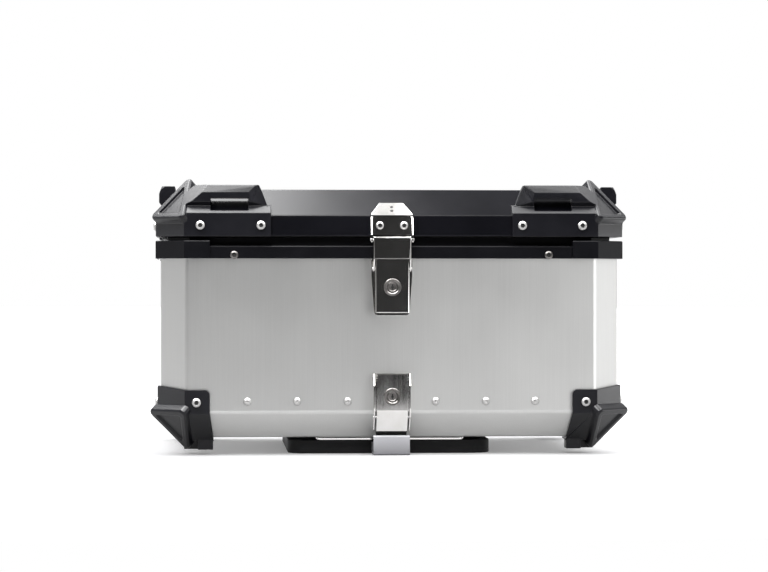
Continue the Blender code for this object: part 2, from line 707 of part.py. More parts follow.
def latch_link():
    side = [(14.8, 262.6), (8, 262.6), (8, 261.1), (13.3, 261.1), (13.3, 248), (10.5, 246), (4.4, 230),
            (3.1, 226), (3.1, 222), (4.5, 220.5), (7, 220.5), (8.6, 222), (14.8, 236.5)]
    link = front_profile("latch_link", side, -22.8, 22.8)
    cut(link, front_profile("inside", [(13.3, 261.1), (-5, 261.1), (-5, 210), (13.3, 210)], -21.2, 21.2))
    cut(link, cylinder("hole", at_front(*LINK_AXIS), (1, 0, 0), 1.6 * MM, 60 * MM, 12))
    finish(link, "stainless")
    pins = []
    for side_name, sign in (("left", -1), ("right", 1)):
        centre = at_front(LINK_AXIS[0], LINK_AXIS[1], sign * 21.4 * MM)
        pin = cylinder("link_pin_" + side_name, centre, (1, 0, 0), 1.3 * MM, 5 * MM, 12)
        head = at_front(LINK_AXIS[0], LINK_AXIS[1], sign * 23.7 * MM)
        join(pin, cylinder("head", head, (1, 0, 0), 2.2 * MM, 1.2 * MM, 12))
        pins.append(finish(pin, "screw"))
    return link, pins


def latch_catch():
    """The catch on the lid: a face plate, a flap up the chamfer and two ears for its pin."""
    catch = front_profile("latch_catch", [(1.8, 264.5), (3.3, 264.5), (3.3, 289), (1.8, 288.4)], -25.3, 25.3)
    rise = 20.2
    slope = Matrix.Rotation(math.radians(-45), 4, "X")
    flap_outline = mm_outline([(-25.3, -0.6), (25.3, -0.6), (14.2, rise), (-14.2, rise)])
    hinge_line = Matrix.Translation(at_front(2.55 * MM, 288.7 * MM))
    join(catch, plate("flap", flap_outline, 1.5 * MM, hinge_line @ slope @ FRONT))
    for side in (-1, 1):
        near, far = sorted((side * 23.8, side * 25.3))
        join(catch, front_profile("ear", [(2.5, 287), (6, 284), (12, 264), (12.3, 257), (11, 255.3),
                                          (8, 255.3), (5.5, 258), (2.5, 264.6)], near, far))
    hole = at_front(*CATCH_PIN)
    cut(catch, cylinder("hole", hole, (1, 0, 0), 2.3 * MM, 60 * MM, 12))
    for sign in (-1, 1):
        cut(catch, cylinder("hole", at_front(2.5 * MM, GUARD_SCREW_Z, sign * 14.5 * MM), (0, 1, 0), 2.7 * MM,
                            8 * MM, 8))
    finish(catch, "stainless")
    finish(cylinder("catch_pin", hole, (1, 0, 0), 2 * MM, 53 * MM, 12), "screw")


# ---------------------------------------------------------------- base latch


def base_bracket():
    side = [(0.3, 98.5), (7, 98.5), (10.6, 95), (10.6, 56), (8.5, 48), (-6.5, 29.6), (-14, 29.6),
            (-21.4, 30.0), (0.3, 51.4)]
    bracket = front_profile("base_latch_bracket", side, -22.2, 22.2)
    cut(bracket, front_profile("inside", [(1.8, 120), (40, 120), (40, 10), (-40, 10), (-40, 20), (1.8, 53)],
                               -20.7, 20.7))
    join(bracket, keeper_bridge("bridge", BASE_LOCK_Z, 12, 9.3))
    hole = at_front(*BASE_AXIS)
    cut(bracket, cylinder("hole", hole, (1, 0, 0), 1.6 * MM, 60 * MM, 12))
    finish(bracket, "stainless")
    finish(cylinder("base_pivot_pin", hole, (1, 0, 0), 1.3 * MM, 46 * MM, 12), "screw")


def base_lever():
    section = [(12.5, 97.5), (11, 97.5), (11, 54.4), (-3.2, 29.9), (-14.5, 29), (-14.5, 15), (-9, 15),
               (-5, 18), (-5, 20.5), (-9, 21), (-12, 21.4), (-12, 27.6), (-2.2, 28.4), (12.5, 54)]
    lever = front_profile("base_latch_lever", section, -18.6, 18.6)
    for side in (-1, 1):
        near, far = sorted((side * 17.2, side * 18.6))
        flange = [(11.5, 97), (8, 92), (5.5, 60), (1.5, 48), (1.5, 44.5), (4.6, 42.2), (11.8, 54)]
        join(lever, front_profile("flange", flange, near, far))
    cut(lever, cylinder("lock_hole", at_front(12 * MM, BASE_LOCK_Z), (0, 1, 0), 9 * MM, 8 * MM, 20))
    cut(lever, cylinder("hole", at_front(*BASE_AXIS), (1, 0, 0), 1.6 * MM, 60 * MM, 12))
    finish(lever, "stainless")
    housing = lock_housing("base_lock_housing", BASE_LOCK_Z, 12.5, 7.4)
    plug = lock_plug("base_lock_plug", BASE_LOCK_Z, 12.5, 7.5)
    return lever, housing, plug


# ---------------------------------------------------------------- fasteners


def button_screw(name, place, shank=5.0, head=5.5):
    profile = [(0, 2.8), (head - 1.9, 2.8), (head, 1.0), (head, 0), (2.2, 0), (2.2, -shank), (0, -shank)]
    return finish(turned(name, profile, place, 10), "screw")


def rivet(name, place):
    profile = [(0, 2.2), (3, 1.7), (5, 0), (2.2, 0), (2.2, -4.5), (0, -4.5)]
    return finish(turned(name, profile, place, 10), "screw")


def front_place(v, z, x):
    return Matrix.Translation(at_front(v, z, x)) @ FRONT


def front_fasteners():
    sides = (("left", -1), ("right", 1))
    for side, sign in sides:
        for label, x in zip(("inner", "outer"), GUARD_SCREWS):
            place = front_place(GUARD_U + GAP, GUARD_SCREW_Z, sign * x)
            button_screw(f"guard_screw_{side}_{label}", place, 8.5)
        place = front_place(FOOT_U + GAP, FOOT_SCREW[1], sign * FOOT_SCREW[0])
        button_screw(f"foot_screw_{side}", place, 8.5)
        rim_place = front_place(3 * MM + GAP, RIM_SCREW[1], sign * RIM_SCREW[0])
        button_screw(f"rim_screw_{side}", rim_place, 1.2, 5)
        catch_place = front_place(3.3 * MM + GAP, GUARD_SCREW_Z, sign * 14.5 * MM)
        button_screw(f"catch_screw_{side}", catch_place, 1.2, 4.8)
        for number, x in enumerate(RIVET_X, start=1):
            rivet(f"tray_rivet_{side}_{number}", front_place(GAP, RIVET_Z, sign * x))


# ---------------------------------------------------------------- assembly


def build():
    rack_plate()
    case_shell()
    inner_tray()
    floor_mat()
    rim()
    keeper_plate()
    corner_guards()
    lid()
    hinges()
    latch_base()
    latch_catch()
    base_bracket()
    lever, housing, plug = latch_lever()
    hang_on(at_front(*LATCH_AXIS), "latch_lever_axis", lever, housing)
    hang_on(at_front(0, LID_LOCK_Z), "lid_lock_axis", plug)
    link, pins = latch_link()
    hang_on(at_front(*LINK_AXIS), "latch_link_axis", link, *pins)
    lever, housing, plug = base_lever()
    hang_on(at_front(*BASE_AXIS), "base_lever_axis", lever, housing)
    hang_on(at_front(0, BASE_LOCK_Z), "base_lock_axis", plug)
    front_fasteners()


build()
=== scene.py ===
"""The looks of the motorcycle top case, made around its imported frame.

Every piece is built in metres in the frame's own coordinates and rides on the body that
carries it. Places are given by u or v, the distance outwards from the flat walls of the
box, in millimetres, and by z above the ground that the rack plate stands on.
"""

import math

import bmesh
import bpy
from mathutils import Matrix, Vector


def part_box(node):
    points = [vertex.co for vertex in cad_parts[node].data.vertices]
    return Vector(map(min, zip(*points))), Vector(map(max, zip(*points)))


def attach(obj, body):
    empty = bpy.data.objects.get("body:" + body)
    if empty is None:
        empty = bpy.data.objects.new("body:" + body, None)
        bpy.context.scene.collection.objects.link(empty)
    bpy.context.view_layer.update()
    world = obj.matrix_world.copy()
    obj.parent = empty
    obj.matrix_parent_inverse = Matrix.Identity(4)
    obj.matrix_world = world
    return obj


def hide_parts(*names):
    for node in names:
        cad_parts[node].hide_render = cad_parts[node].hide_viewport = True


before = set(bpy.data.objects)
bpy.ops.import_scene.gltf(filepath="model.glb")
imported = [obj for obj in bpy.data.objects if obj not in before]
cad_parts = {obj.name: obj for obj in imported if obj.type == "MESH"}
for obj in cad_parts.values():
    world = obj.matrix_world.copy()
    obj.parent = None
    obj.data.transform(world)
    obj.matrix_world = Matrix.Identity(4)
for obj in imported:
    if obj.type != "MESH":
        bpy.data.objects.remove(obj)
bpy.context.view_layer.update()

MM = 0.001


def node_mm(name):
    """A CAD node's lowest and highest corners, in millimetres."""
    low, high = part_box(name)
    return [value / MM for value in low], [value / MM for value in high]


# The box: its walls, its cut corners and the crease above its bottom chamfer.
SHELL_LOW, SHELL_HIGH = node_mm("case_shell")
HALF_WIDTH, HALF_DEPTH, BOX_TOP = SHELL_HIGH
BOX_BOTTOM = SHELL_LOW[2]
CORNER_CUT = 31
BOX_CREASE = BOX_BOTTOM + CORNER_CUT
SHEET = 1.5
GAP = 0.3
SHIFT = HALF_WIDTH - HALF_DEPTH  # from a place along the front to its mirror along the end wall
DIAGONAL = 2 - math.sqrt(2)  # how fast a cut corner grows as the outline moves outwards

LID_LOW_CORNER, LID_HIGH_CORNER = node_mm("lid_shell")
LID_LOW, LID_TOP = LID_LOW_CORNER[2], LID_HIGH_CORNER[2]
LID_U = LID_HIGH_CORNER[1] - HALF_DEPTH
LID_CREASE = LID_TOP - 32

# Upper guards: thickness, heights, where their wings start, and their strap slots.
GUARD_U, GUARD_LOW, GUARD_CREASE, GUARD_LEDGE, GUARD_REACH = 6, 262.8, 291, 299.4, 145
GUARD_SCREWS, GUARD_SCREW_Z = (157, 229.5), 276
SLOT, SLOT_HEIGHT = (172, 217), (293.9, 308.4)
BAR_DEPTH = 6
LOOP_PROFILE = [(-4, 291), (-2.6, 299), (2.5, 304.5), (2.5, 315.5), (-1, 324.6), (-17, 324.6), (-17, 302)]
LOOP_RADII = [0, 1.5, 1.5, 2.5, 1.8, 1.5, 0]
LOOP_OUTLINE = [(146, 288), (149.8, 301.4), (155.6, 316.7), (160.5, 327), (262, 327), (262, 288)]
LOOP_FACET = [(172, 2.5, 315.5), (162, -1.5, 325), (149.5, -2.6, 300)]

# Lower guards: thickness, where their wings start, their top edge and their feet.
FOOT_U, FOOT_REACH, FOOT_TOP, FOOT_BLOCK, FOOT_LOW = 4, 218, (79, 83), (213.5, 232.3), 6
FOOT_SCREW = (234, 64)

RIM_U, RIM_LOW, RIM_TOP = 3, 236.4, 251.4
CAP_U, CAP_TOP = 6.3, 258
RIM_SCREW = (189, 240.6)
RIVET_X, RIVET_Z = (53, 113.5, 173), 65

# Axes as (v, z).
LATCH_AXIS, LINK_AXIS, CATCH_PIN = (7.5, 233), (5.9, 224), (9.5, 258.6)
BASE_AXIS = (5, 46.2)
LID_LOCK_Z, BASE_LOCK_Z = 202, 71
LOCK_FACE = 12.5
HINGE_V, HINGE_Z, HINGE_X = 8, 259, 110

PLATE_TOP = node_mm("mounting_plate")[1][2]
BOLT_X, BOLT_Y = 70, (-95, 75)
POCKET_Y = (-55, -10, 35)

# Local XY to the front wall's (x, z), to a section's (v, z), and to an end wall's (y, z).
FRONT = Matrix(((1, 0, 0, 0), (0, 0, -1, 0), (0, 1, 0, 0), (0, 0, 0, 1)))
PROFILE = Matrix(((0, 0, -1, 0), (-1, 0, 0, 0), (0, 1, 0, 0), (0, 0, 0, 1)))
SIDE = Matrix(((0, 0, 1, 0), (1, 0, 0, 0), (0, 1, 0, 0), (0, 0, 0, 1)))
QUARTERS = {"front_left": (-1, -1), "front_right": (1, -1), "rear_left": (-1, 1), "rear_right": (1, 1)}

# The camera and the floor, in metres.
LENS_MM = 128.9
LOOK_AT = Vector((-0.0094, -HALF_DEPTH * MM, 0.2034))
LOOK_FROM = Vector((-0.2072, -3.2935, 0))
FLOOR_RADIUS, FLOOR_FRONT = 12, -1.3


# ---------------- materials


def add(tree, kind, values=(), **settings):
    """A new shader node; a value that is a socket is linked instead of set."""
    made = tree.nodes.new(kind)
    for key, value in settings.items():
        setattr(made, key, value)
    for key, value in dict(values).items():
        if isinstance(value, bpy.types.NodeSocket):
            tree.links.new(value, made.inputs[key])
        else:
            made.inputs[key].default_value = value
    return made


def principled(name):
    made = bpy.data.materials.new(name)
    made.use_nodes = True
    tree = made.node_tree
    return made, tree, tree.nodes["Principled BSDF"]


def noise(tree, stretch, detail=3.0, roughness=0.6):
    """Noise with its own stretch along X, Y and Z, in cycles per metre."""
    place = add(tree, "ShaderNodeTexCoord").outputs["Object"]
    scaled = add(tree, "ShaderNodeMapping", {"Vector": place, "Scale": stretch})
    made = add(tree, "ShaderNodeTexNoise", {"Vector": scaled.outputs[0], "Scale": 1.0, "Detail": detail,
                                            "Roughness": roughness})
    return made.outputs[0]


def spread(tree, value, low, high, start=0.3, end=0.7):
    """Maps a noise value to a range."""
    return add(tree, "ShaderNodeMapRange", {"Value": value, "From Min": start, "From Max": end, "To Min": low,
                                            "To Max": high}).outputs[0]


def tint(tree, value, first, second):
    """A colour between two, by a value from 0 to 1."""
    made = add(tree, "ShaderNodeMix", data_type="RGBA")
    tree.links.new(value, made.inputs[0])
    ends = [socket for socket in made.inputs if socket.type == "RGBA"]
    for socket, colour in zip(ends, (first, second)):
        socket.default_value = (*colour, 1)
    return [socket for socket in made.outputs if socket.type == "RGBA"][0]


def bump(tree, shader, height, distance_mm):
    made = add(tree, "ShaderNodeBump", {"Height": height, "Distance": distance_mm * MM, "Strength": 1.0})
    tree.links.new(made.outputs[0], shader.inputs["Normal"])


def set_inputs(tree, shader, **values):
    """Sets or links the shader's inputs by their names, with spaces as underscores."""
    for key, value in values.items():
        socket = shader.inputs[key.replace("_", " ")]
        if isinstance(value, bpy.types.NodeSocket):
            tree.links.new(value, socket)
        else:
            socket.default_value = value


def plain(name, stretch, detail, first, second, roughness, metallic=0.0, specular=0.5, bump_mm=0.0,
          bump_stretch=None, start=0.3, end=0.7):
    """A material of two colours mottled by noise, with its roughness between two values or fixed."""
    made, tree, shader = principled(name)
    mottle = noise(tree, (stretch,) * 3, detail)
    rough = spread(tree, mottle, *roughness) if isinstance(roughness, tuple) else roughness
    set_inputs(tree, shader, Base_Color=tint(tree, spread(tree, mottle, 0, 1, start, end), first, second),
               Roughness=rough, Metallic=metallic, Specular_IOR_Level=specular)
    if bump_mm:
        height = noise(tree, (bump_stretch[0],) * 3, bump_stretch[1]) if bump_stretch else mottle
        bump(tree, shader, height, bump_mm)
    return made


def box_aluminium():
    """Bare aluminium sheet with a fine upright brush and slight handling marks."""
    made, tree, shader = principled("box_aluminium")
    streak = noise(tree, (900, 900, 9), 4)
    patch = noise(tree, (7, 7, 5), 3)
    colour = tint(tree, spread(tree, streak, 0, 1), (0.50, 0.50, 0.492), (0.525, 0.525, 0.516))
    set_inputs(tree, shader, Base_Color=colour, Roughness=spread(tree, patch, 0.40, 0.50), Metallic=0.85,
               Anisotropic=0.35)
    bump(tree, shader, streak, 0.002)
    return made


def lid_sheet():
    """Black satin powder coat, with a faint orange peel."""
    return plain("lid_sheet", 14, 3, (0.0009, 0.0009, 0.0018), (0.0015, 0.0015, 0.0028), (0.27, 0.32),
                 specular=0.22, bump_mm=0.02, bump_stretch=(420, 2))


def guard_plastic():
    """Moulded black nylon with a fine spark grain, a little worn on its edges."""
    made, tree, shader = principled("guard_plastic")
    grain = noise(tree, (1400, 1400, 1400), 2)
    cloud = noise(tree, (30, 30, 30), 4)
    edge = add(tree, "ShaderNodeNewGeometry").outputs["Pointiness"]
    values = {0: spread(tree, edge, 0, 1, 0.52, 0.62), 1: spread(tree, cloud, 0, 1)}
    rubbed = add(tree, "ShaderNodeMath", values, operation="MULTIPLY").outputs[0]
    colour = tint(tree, rubbed, (0.0015, 0.0015, 0.0026), (0.007, 0.007, 0.009))
    set_inputs(tree, shader, Base_Color=colour, Roughness=spread(tree, cloud, 0.29, 0.33),
               Specular_IOR_Level=0.28)
    bump(tree, shader, grain, 0.03)
    return made


def rim_plastic():
    """The rim's black extrusion and caps, duller and darker than the guards."""
    return plain("rim_plastic", 30, 4, (0.001, 0.001, 0.0016), (0.0016, 0.0016, 0.0024), (0.33, 0.38),
                 specular=0.12, bump_mm=0.03, bump_stretch=(1400, 2))


def stainless():
    """Pressed stainless sheet, brushed along its length and nearly bright on its bends."""
    made, tree, shader = principled("stainless")
    streak = noise(tree, (1100, 1100, 16), 3)
    smear = noise(tree, (38, 38, 38), 4)
    values = {0: spread(tree, streak, 0.06, 0.11), 1: spread(tree, smear, 0.0, 0.04)}
    rough = add(tree, "ShaderNodeMath", values, operation="ADD").outputs[0]
    colour = tint(tree, spread(tree, smear, 0, 1), (0.60, 0.59, 0.57), (0.68, 0.67, 0.66))
    set_inputs(tree, shader, Base_Color=colour, Roughness=rough, Metallic=1.0)
    bump(tree, shader, streak, 0.001)
    return made


def fastener_steel():
    """Plated screws, rivets and pins."""
    return plain("fastener_steel", 700, 3, (0.36, 0.355, 0.35), (0.48, 0.475, 0.47), (0.42, 0.52),
                 metallic=1.0, bump_mm=0.01)


def dark_steel_and_painted_shade():
    """The same steel painted dark: painted shade deep in screw sockets, key slots and under the base lever's
    hook, and the whole of the catch flap's small rivets.
    """
    return plain("dark_steel_and_painted_shade", 900, 3, (0.012, 0.012, 0.012), (0.04, 0.039, 0.038), 0.6, metallic=0.6)


def lock_steel():
    """Smoked chrome of the locks' collars and cores."""
    return plain("lock_steel", 160, 3, (0.11, 0.105, 0.10), (0.19, 0.18, 0.175), (0.3, 0.4), metallic=1.0)


def blasted_steel():
    """Stainless sheet with a dull blasted surface and grain, with painted shade that darkens it towards its
    foot.
    """
    made, tree, shader = principled("blasted_steel")
    grain = noise(tree, (1500, 1500, 1500), 3)
    place = add(tree, "ShaderNodeTexCoord").outputs["Generated"]
    # Painted shade: the colour darkens with lower height towards the floor, mottled by the grain.
    height = add(tree, "ShaderNodeSeparateXYZ", {0: place}).outputs["Z"]
    values = {0: height, 1: spread(tree, grain, 0.7, 1)}
    foot_shade_and_grain = add(tree, "ShaderNodeMath", values, operation="MULTIPLY").outputs[0]
    colour = tint(tree, foot_shade_and_grain, (0.11, 0.11, 0.118), (0.31, 0.31, 0.325))
    set_inputs(tree, shader, Base_Color=colour, Roughness=0.55, Metallic=0.35)
    bump(tree, shader, grain, 0.02)
    return made


def rubber():
    """Dull black rubber of the seal and the mat."""
    return plain("rubber", 900, 3, (0.012, 0.012, 0.012), (0.02, 0.02, 0.02), (0.72, 0.86), bump_mm=0.05)


def rack_plate_black():
    """The rack plate's textured black coat, mottled lighter in patches."""
    return plain("rack_plate_black", 24, 5, (0.0035, 0.0035, 0.0042), (0.009, 0.009, 0.0095), (0.42, 0.6),
                 specular=0.25, bump_mm=0.06, bump_stretch=(800, 3), start=0.45, end=0.75)


FINISHES = (box_aluminium, lid_sheet, guard_plastic, rim_plastic, stainless, fastener_steel, dark_steel_and_painted_shade,
            lock_steel, blasted_steel, rubber, rack_plate_black)
MATERIALS = {make.__name__: make() for make in FINISHES}


# ---------------- shapes


def linked(name, bm):
    mesh = bpy.data.meshes.new(name)
    bm.to_mesh(mesh)
    bm.free()
    obj = bpy.data.objects.new(name, mesh)
    bpy.context.scene.collection.objects.link(obj)
    return obj


def new_object(name, bm, place=None):
    """A mesh object with its place already worked into its points."""
    if place is not None:
        bmesh.ops.transform(bm, matrix=place, verts=bm.verts)
    bmesh.ops.recalc_face_normals(bm, faces=bm.faces)
    return linked(name, bm)


def box(name, low, high):
    """A box between two corners given in millimetres."""
    low, high = Vector(low) * MM, Vector(high) * MM
    bm = bmesh.new()
    bmesh.ops.create_cube(bm, size=1.0)
    bmesh.ops.scale(bm, vec=high - low, verts=bm.verts)
    return new_object(name, bm, Matrix.Translation((low + high) / 2))


def cylinder(name, centre_mm, direction, radius, length, sides=32):
    bm = bmesh.new()
    bmesh.ops.create_cone(bm, cap_ends=True, segments=sides, radius1=radius * MM, radius2=radius * MM,
                          depth=length * MM)
    turn = Vector((0, 0, 1)).rotation_difference(Vector(direction)).to_matrix().to_4x4()
    return new_object(name, bm, Matrix.Translation(Vector(centre_mm) * MM) @ turn)


def rounded(points, radii, steps=4):
    """The outline with its corners replaced by arcs; one radius for all, or one for each corner."""
    count = len(points)
    sizes = radii if isinstance(radii, (list, tuple)) else [radii] * count
    outline = []
    for index, (point, radius) in enumerate(zip(points, sizes)):
        corner = Vector(point)
        if radius == 0:
            outline.append(corner)
            continue
        before = (Vector(points[index - 1]) - corner).normalized()
        after = (Vector(points[(index + 1) % count]) - corner).normalized()
        half = before.angle(after) / 2
        centre = corner + (before + after).normalized() * radius / math.sin(half)
        start = corner + before * radius / math.tan(half) - centre
        end = corner + after * radius / math.tan(half) - centre
        sweep = start.angle_signed(end)
        for step in range(steps + 1):
            outline.append(centre + Matrix.Rotation(-sweep * step / steps, 2) @ start)
    return outline


def prism(name, outline, thickness, place):
    """A flat outline (millimetres, local XY) with its thickness centred on the local plane."""
    bm = bmesh.new()
    half = thickness / 2
    top = [bm.verts.new((x * MM, y * MM, half * MM)) for x, y in outline]
    bottom = [bm.verts.new((x * MM, y * MM, -half * MM)) for x, y in outline]
    bm.faces.new(top)
    bm.faces.new(list(reversed(bottom)))
    for index in range(len(top)):
        after = (index + 1) % len(top)
        bm.faces.new((top[index], bottom[index], bottom[after], top[after]))
    return new_object(name, bm, place)


def shifted(x=0.0, y=0.0, z=0.0):
    return Matrix.Translation((x * MM, y * MM, z * MM))


def front_plate(name, outline, v_low, v_high):
    """A plate parallel to the front wall; its outline is (x, z)."""
    return prism(name, outline, v_high - v_low, shifted(0, -HALF_DEPTH - (v_low + v_high) / 2, 0) @ FRONT)


def front_box(name, low, high):
    """A box before the front wall, between two corners (x, v, z)."""
    return box(name, (low[0], -HALF_DEPTH - high[1], low[2]), (high[0], -HALF_DEPTH - low[1], high[2]))


def front_profile(name, outline, x_low, x_high):
    """A section (v, z), drawn along x between two places."""
    return prism(name, outline, x_high - x_low, shifted((x_low + x_high) / 2, -HALF_DEPTH, 0) @ PROFILE)


def both_sides(name, outline, near, far):
    """The same section on the left and on the right."""
    return [front_profile(name, outline, -far, -near), front_profile(name, outline, near, far)]


def along_y(name, outline, y_low, y_high):
    return prism(name, outline, y_high - y_low, shifted(0, (y_low + y_high) / 2, 0) @ FRONT)


def along_x(name, outline, x_low, x_high):
    return prism(name, outline, x_high - x_low, shifted((x_low + x_high) / 2, 0, 0) @ SIDE)


def along_z(name, outline, z_low, z_high):
    return prism(name, outline, z_high - z_low, shifted(0, 0, (z_low + z_high) / 2))


def turned(name, profile, place, steps=40):
    """A profile (radius, height) turned about the local Z axis, from its top down its outer side."""
    bm = bmesh.new()
    points = [bm.verts.new((r * MM, 0, h * MM)) for r, h in profile]
    edges = [bm.edges.new(pair) for pair in zip(points, points[1:])]
    bmesh.ops.spin(bm, geom=points + edges, cent=(0, 0, 0), axis=(0, 0, 1), angle=2 * math.pi, steps=steps,
                   use_merge=True)
    bmesh.ops.remove_doubles(bm, verts=bm.verts, dist=0.01 * MM)
    return new_object(name, bm, place)


def arc(centre, radius, start, end, steps=5):
    """Points on an arc, with its angles in degrees."""
    angles = [math.radians(start + (end - start) * step / steps) for step in range(steps + 1)]
    return [(centre[0] + radius * math.cos(angle), centre[1] + radius * math.sin(angle)) for angle in angles]


def octagon(u):
    """The box's plan outline, moved outwards by u."""
    x, y = HALF_WIDTH + u, HALF_DEPTH + u
    cut_off = CORNER_CUT + u * DIAGONAL
    corners = []
    for sx, sy in ((1, -1), (1, 1), (-1, 1), (-1, -1)):
        along_front, along_end = (sx * (x - cut_off), sy * y), (sx * x, sy * (y - cut_off))
        corners += [along_front, along_end] if sx * sy < 0 else [along_end, along_front]
    return corners


def rectangle(u):
    x, y = HALF_WIDTH + u, HALF_DEPTH + u
    return [(x, -y), (x, y), (-x, y), (-x, -y)]


def solid_between(name, levels, bend=0.0, open_z=None):
    """The convex solid through flat outlines; its edges are bent round, except at the open end."""
    bm = bmesh.new()
    for z, outline in levels:
        for x, y in outline:
            bm.verts.new((x * MM, y * MM, z * MM))
    bmesh.ops.convex_hull(bm, input=bm.verts)
    loose = [vert for vert in bm.verts if not vert.link_faces]
    bmesh.ops.delete(bm, geom=loose, context="VERTS")
    bmesh.ops.dissolve_limit(bm, angle_limit=math.radians(0.5), verts=bm.verts, edges=bm.edges)
    if bend:
        bent = [edge for edge in bm.edges
                if open_z is None or not all(abs(vert.co.z / MM - open_z) < 0.01 for vert in edge.verts)]
        bmesh.ops.bevel(bm, geom=bent, offset=bend * MM, segments=5, profile=0.5, affect="EDGES",
                        clamp_overlap=False)
    return new_object(name, bm)


def lid_block(name, u, low, crease, high=None, bend=0.0):
    """The lid's outer form, moved outwards by u: upright walls, then a chamfer all round."""
    cut_off = CORNER_CUT + u * DIAGONAL if high is None else high - crease
    levels = [(low, octagon(u)), (crease, octagon(u)), (crease + cut_off, rectangle(u - cut_off))]
    return solid_between(name, levels, bend, low)


def box_block(name, u, bottom, crease, high, bend=0.0):
    """The box's outer form, moved outwards by u, with its chamfer at the bottom."""
    levels = [(bottom, rectangle(u - crease + bottom)), (crease, octagon(u)), (high, octagon(u))]
    return solid_between(name, levels, bend, high)


def ring(name, profile):
    """A section (u, z) drawn round the box's plan outline."""
    bm = bmesh.new()
    loops = [[bm.verts.new((x * MM, y * MM, z * MM)) for x, y in octagon(u)] for u, z in profile]
    for loop, following in zip(loops, loops[1:] + loops[:1]):
        for index in range(len(loop)):
            after = (index + 1) % len(loop)
            bm.faces.new((loop[index], loop[after], following[after], following[index]))
    return new_object(name, bm)


# ---------------- joining, cutting, softening


def apply_modifiers(obj):
    evaluated = obj.evaluated_get(bpy.context.evaluated_depsgraph_get())
    mesh = bpy.data.meshes.new_from_object(evaluated)
    obj.modifiers.clear()
    obj.data = mesh
    return obj


def boolean(target, tool, operation):
    """Applies a Boolean at once and removes its tool."""
    modifier = target.modifiers.new("shape", "BOOLEAN")
    modifier.operation = operation
    modifier.solver = "MANIFOLD"
    modifier.object = tool
    apply_modifiers(target)
    bpy.data.objects.remove(tool, do_unlink=True)
    return target


def join(target, *tools):
    for tool in tools:
        boolean(target, tool, "UNION")
    return target


def cut(target, *tools):
    for tool in tools:
        boolean(target, tool, "DIFFERENCE")
    return target


def keep_inside(target, *tools):
    for tool in tools:
        boolean(target, tool, "INTERSECT")
    return target


def soften(obj, width, segments=2, angle=28):
    """Rounds every edge that turns by more than an angle."""
    bm = bmesh.new()
    bm.from_mesh(obj.data)
    bmesh.ops.remove_doubles(bm, verts=bm.verts, dist=0.02 * MM)
    bmesh.ops.dissolve_limit(bm, angle_limit=math.radians(0.5), verts=bm.verts, edges=bm.edges)
    bm.to_mesh(obj.data)
    bm.free()
    modifier = obj.modifiers.new("edges", "BEVEL")
    modifier.width = width * MM
    modifier.segments = segments
    modifier.limit_method = "ANGLE"
    modifier.angle_limit = math.radians(angle)
    modifier.use_clamp_overlap = False
    modifier.miter_outer = "MITER_ARC"
    return apply_modifiers(obj)


def copies(name, source, places):
    """One mesh that repeats the source at each place."""
    bm = bmesh.new()
    for place in places:
        part = bmesh.new()
        part.from_mesh(source.data)
        bmesh.ops.transform(part, matrix=place, verts=part.verts)
        if place.determinant() < 0:
            bmesh.ops.reverse_faces(part, faces=part.faces)
        mesh = bpy.data.meshes.new("part")
        part.to_mesh(mesh)
        part.free()
        bm.from_mesh(mesh)
        bpy.data.meshes.remove(mesh)
    return linked(name, bm)


def dress(obj, body, finish, *nodes, surfaces=None, angle=35):
    """Gives a finished shape its shading, materials, body and the CAD nodes that it stands for."""
    indices = [face.material_index for face in obj.data.polygons]
    obj.data.materials.clear()
    for surface in surfaces or [finish]:
        obj.data.materials.append(MATERIALS[surface])
    if surfaces and len(surfaces) > 1:
        obj.data.polygons.foreach_set("material_index", indices)
    obj.data.shade_smooth()
    obj.data.set_sharp_from_angle(angle=math.radians(angle))
    weighted = obj.modifiers.new("normals", "WEIGHTED_NORMAL")
    weighted.keep_sharp = True
    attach(obj, body)
    if nodes:
        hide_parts(*nodes)
    return obj


def keep_node(name, finish, edge=0.0):
    """Shows a CAD node whose shape is right, with a better surface and softer edges."""
    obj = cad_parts[name]
    while len(obj.material_slots) > 1:
        obj.data.materials.pop()
    for slot in obj.material_slots:
        slot.material = MATERIALS[finish]
    if edge:
        modifier = obj.modifiers.new("edges", "BEVEL")
        modifier.width = edge * MM
        modifier.segments = 2
        modifier.limit_method = "ANGLE"
        modifier.angle_limit = math.radians(40)


# ---------------- corner guards


def shield_place(base, up):
    """The frame of a shield: local X along its base edge, local Z outwards."""
    outward = Vector((1, 1, up)).normalized()
    along = Vector((-up, up, 0)).normalized()
    turn = Matrix((along, outward.cross(along), outward)).transposed().to_4x4()
    return Matrix.Translation(Vector(base) * MM) @ turn


def stacked(name, place, levels):
    """A solid through outlines of one count of points, each at its height above the local plane."""
    bm = bmesh.new()
    rings = [[bm.verts.new((x * MM, y * MM, height * MM)) for x, y in outline] for height, outline in levels]
    for low, high in zip(rings, rings[1:]):
        for index in range(len(low)):
            after = (index + 1) % len(low)
            bm.faces.new((low[index], low[after], high[after], high[index]))
    bm.faces.new(list(reversed(rings[0])))
    bm.faces.new(rings[-1])
    return new_object(name, bm, place)


def inset_triangle(half_base, height, inset):
    """An upright triangle's corners, moved in from all three edges."""
    slope = math.atan2(height, half_base)
    side = inset / math.sin(slope) + inset / math.tan(slope)
    return [(-half_base + side, inset), (half_base - side, inset), (0, height - inset / math.cos(slope))]


def add_shield(guard, place, half_base, height, thickness, depth):
    """Joins a raised triangle with a chamfered edge and sinks a recess into it, wider at its mouth."""
    face = rounded(inset_triangle(half_base, height, 0), [5.0, 5.0, 3.8])
    body = rounded(inset_triangle(half_base, height, -1.5), [5.8, 5.8, 4.6])
    join(guard, stacked("shield", place, [(-thickness, body), (-2.2, body), (0, face)]))
    recess = rounded(inset_triangle(half_base, height, 7), 2)
    centre = sum((Vector(point) for point in recess), Vector((0, 0))) / len(recess)
    mouth = [centre + (Vector(point) - centre) * 1.1 for point in recess]
    cut(guard, stacked("recess", place, [(-depth, recess), (0, mouth), (5, mouth)]))


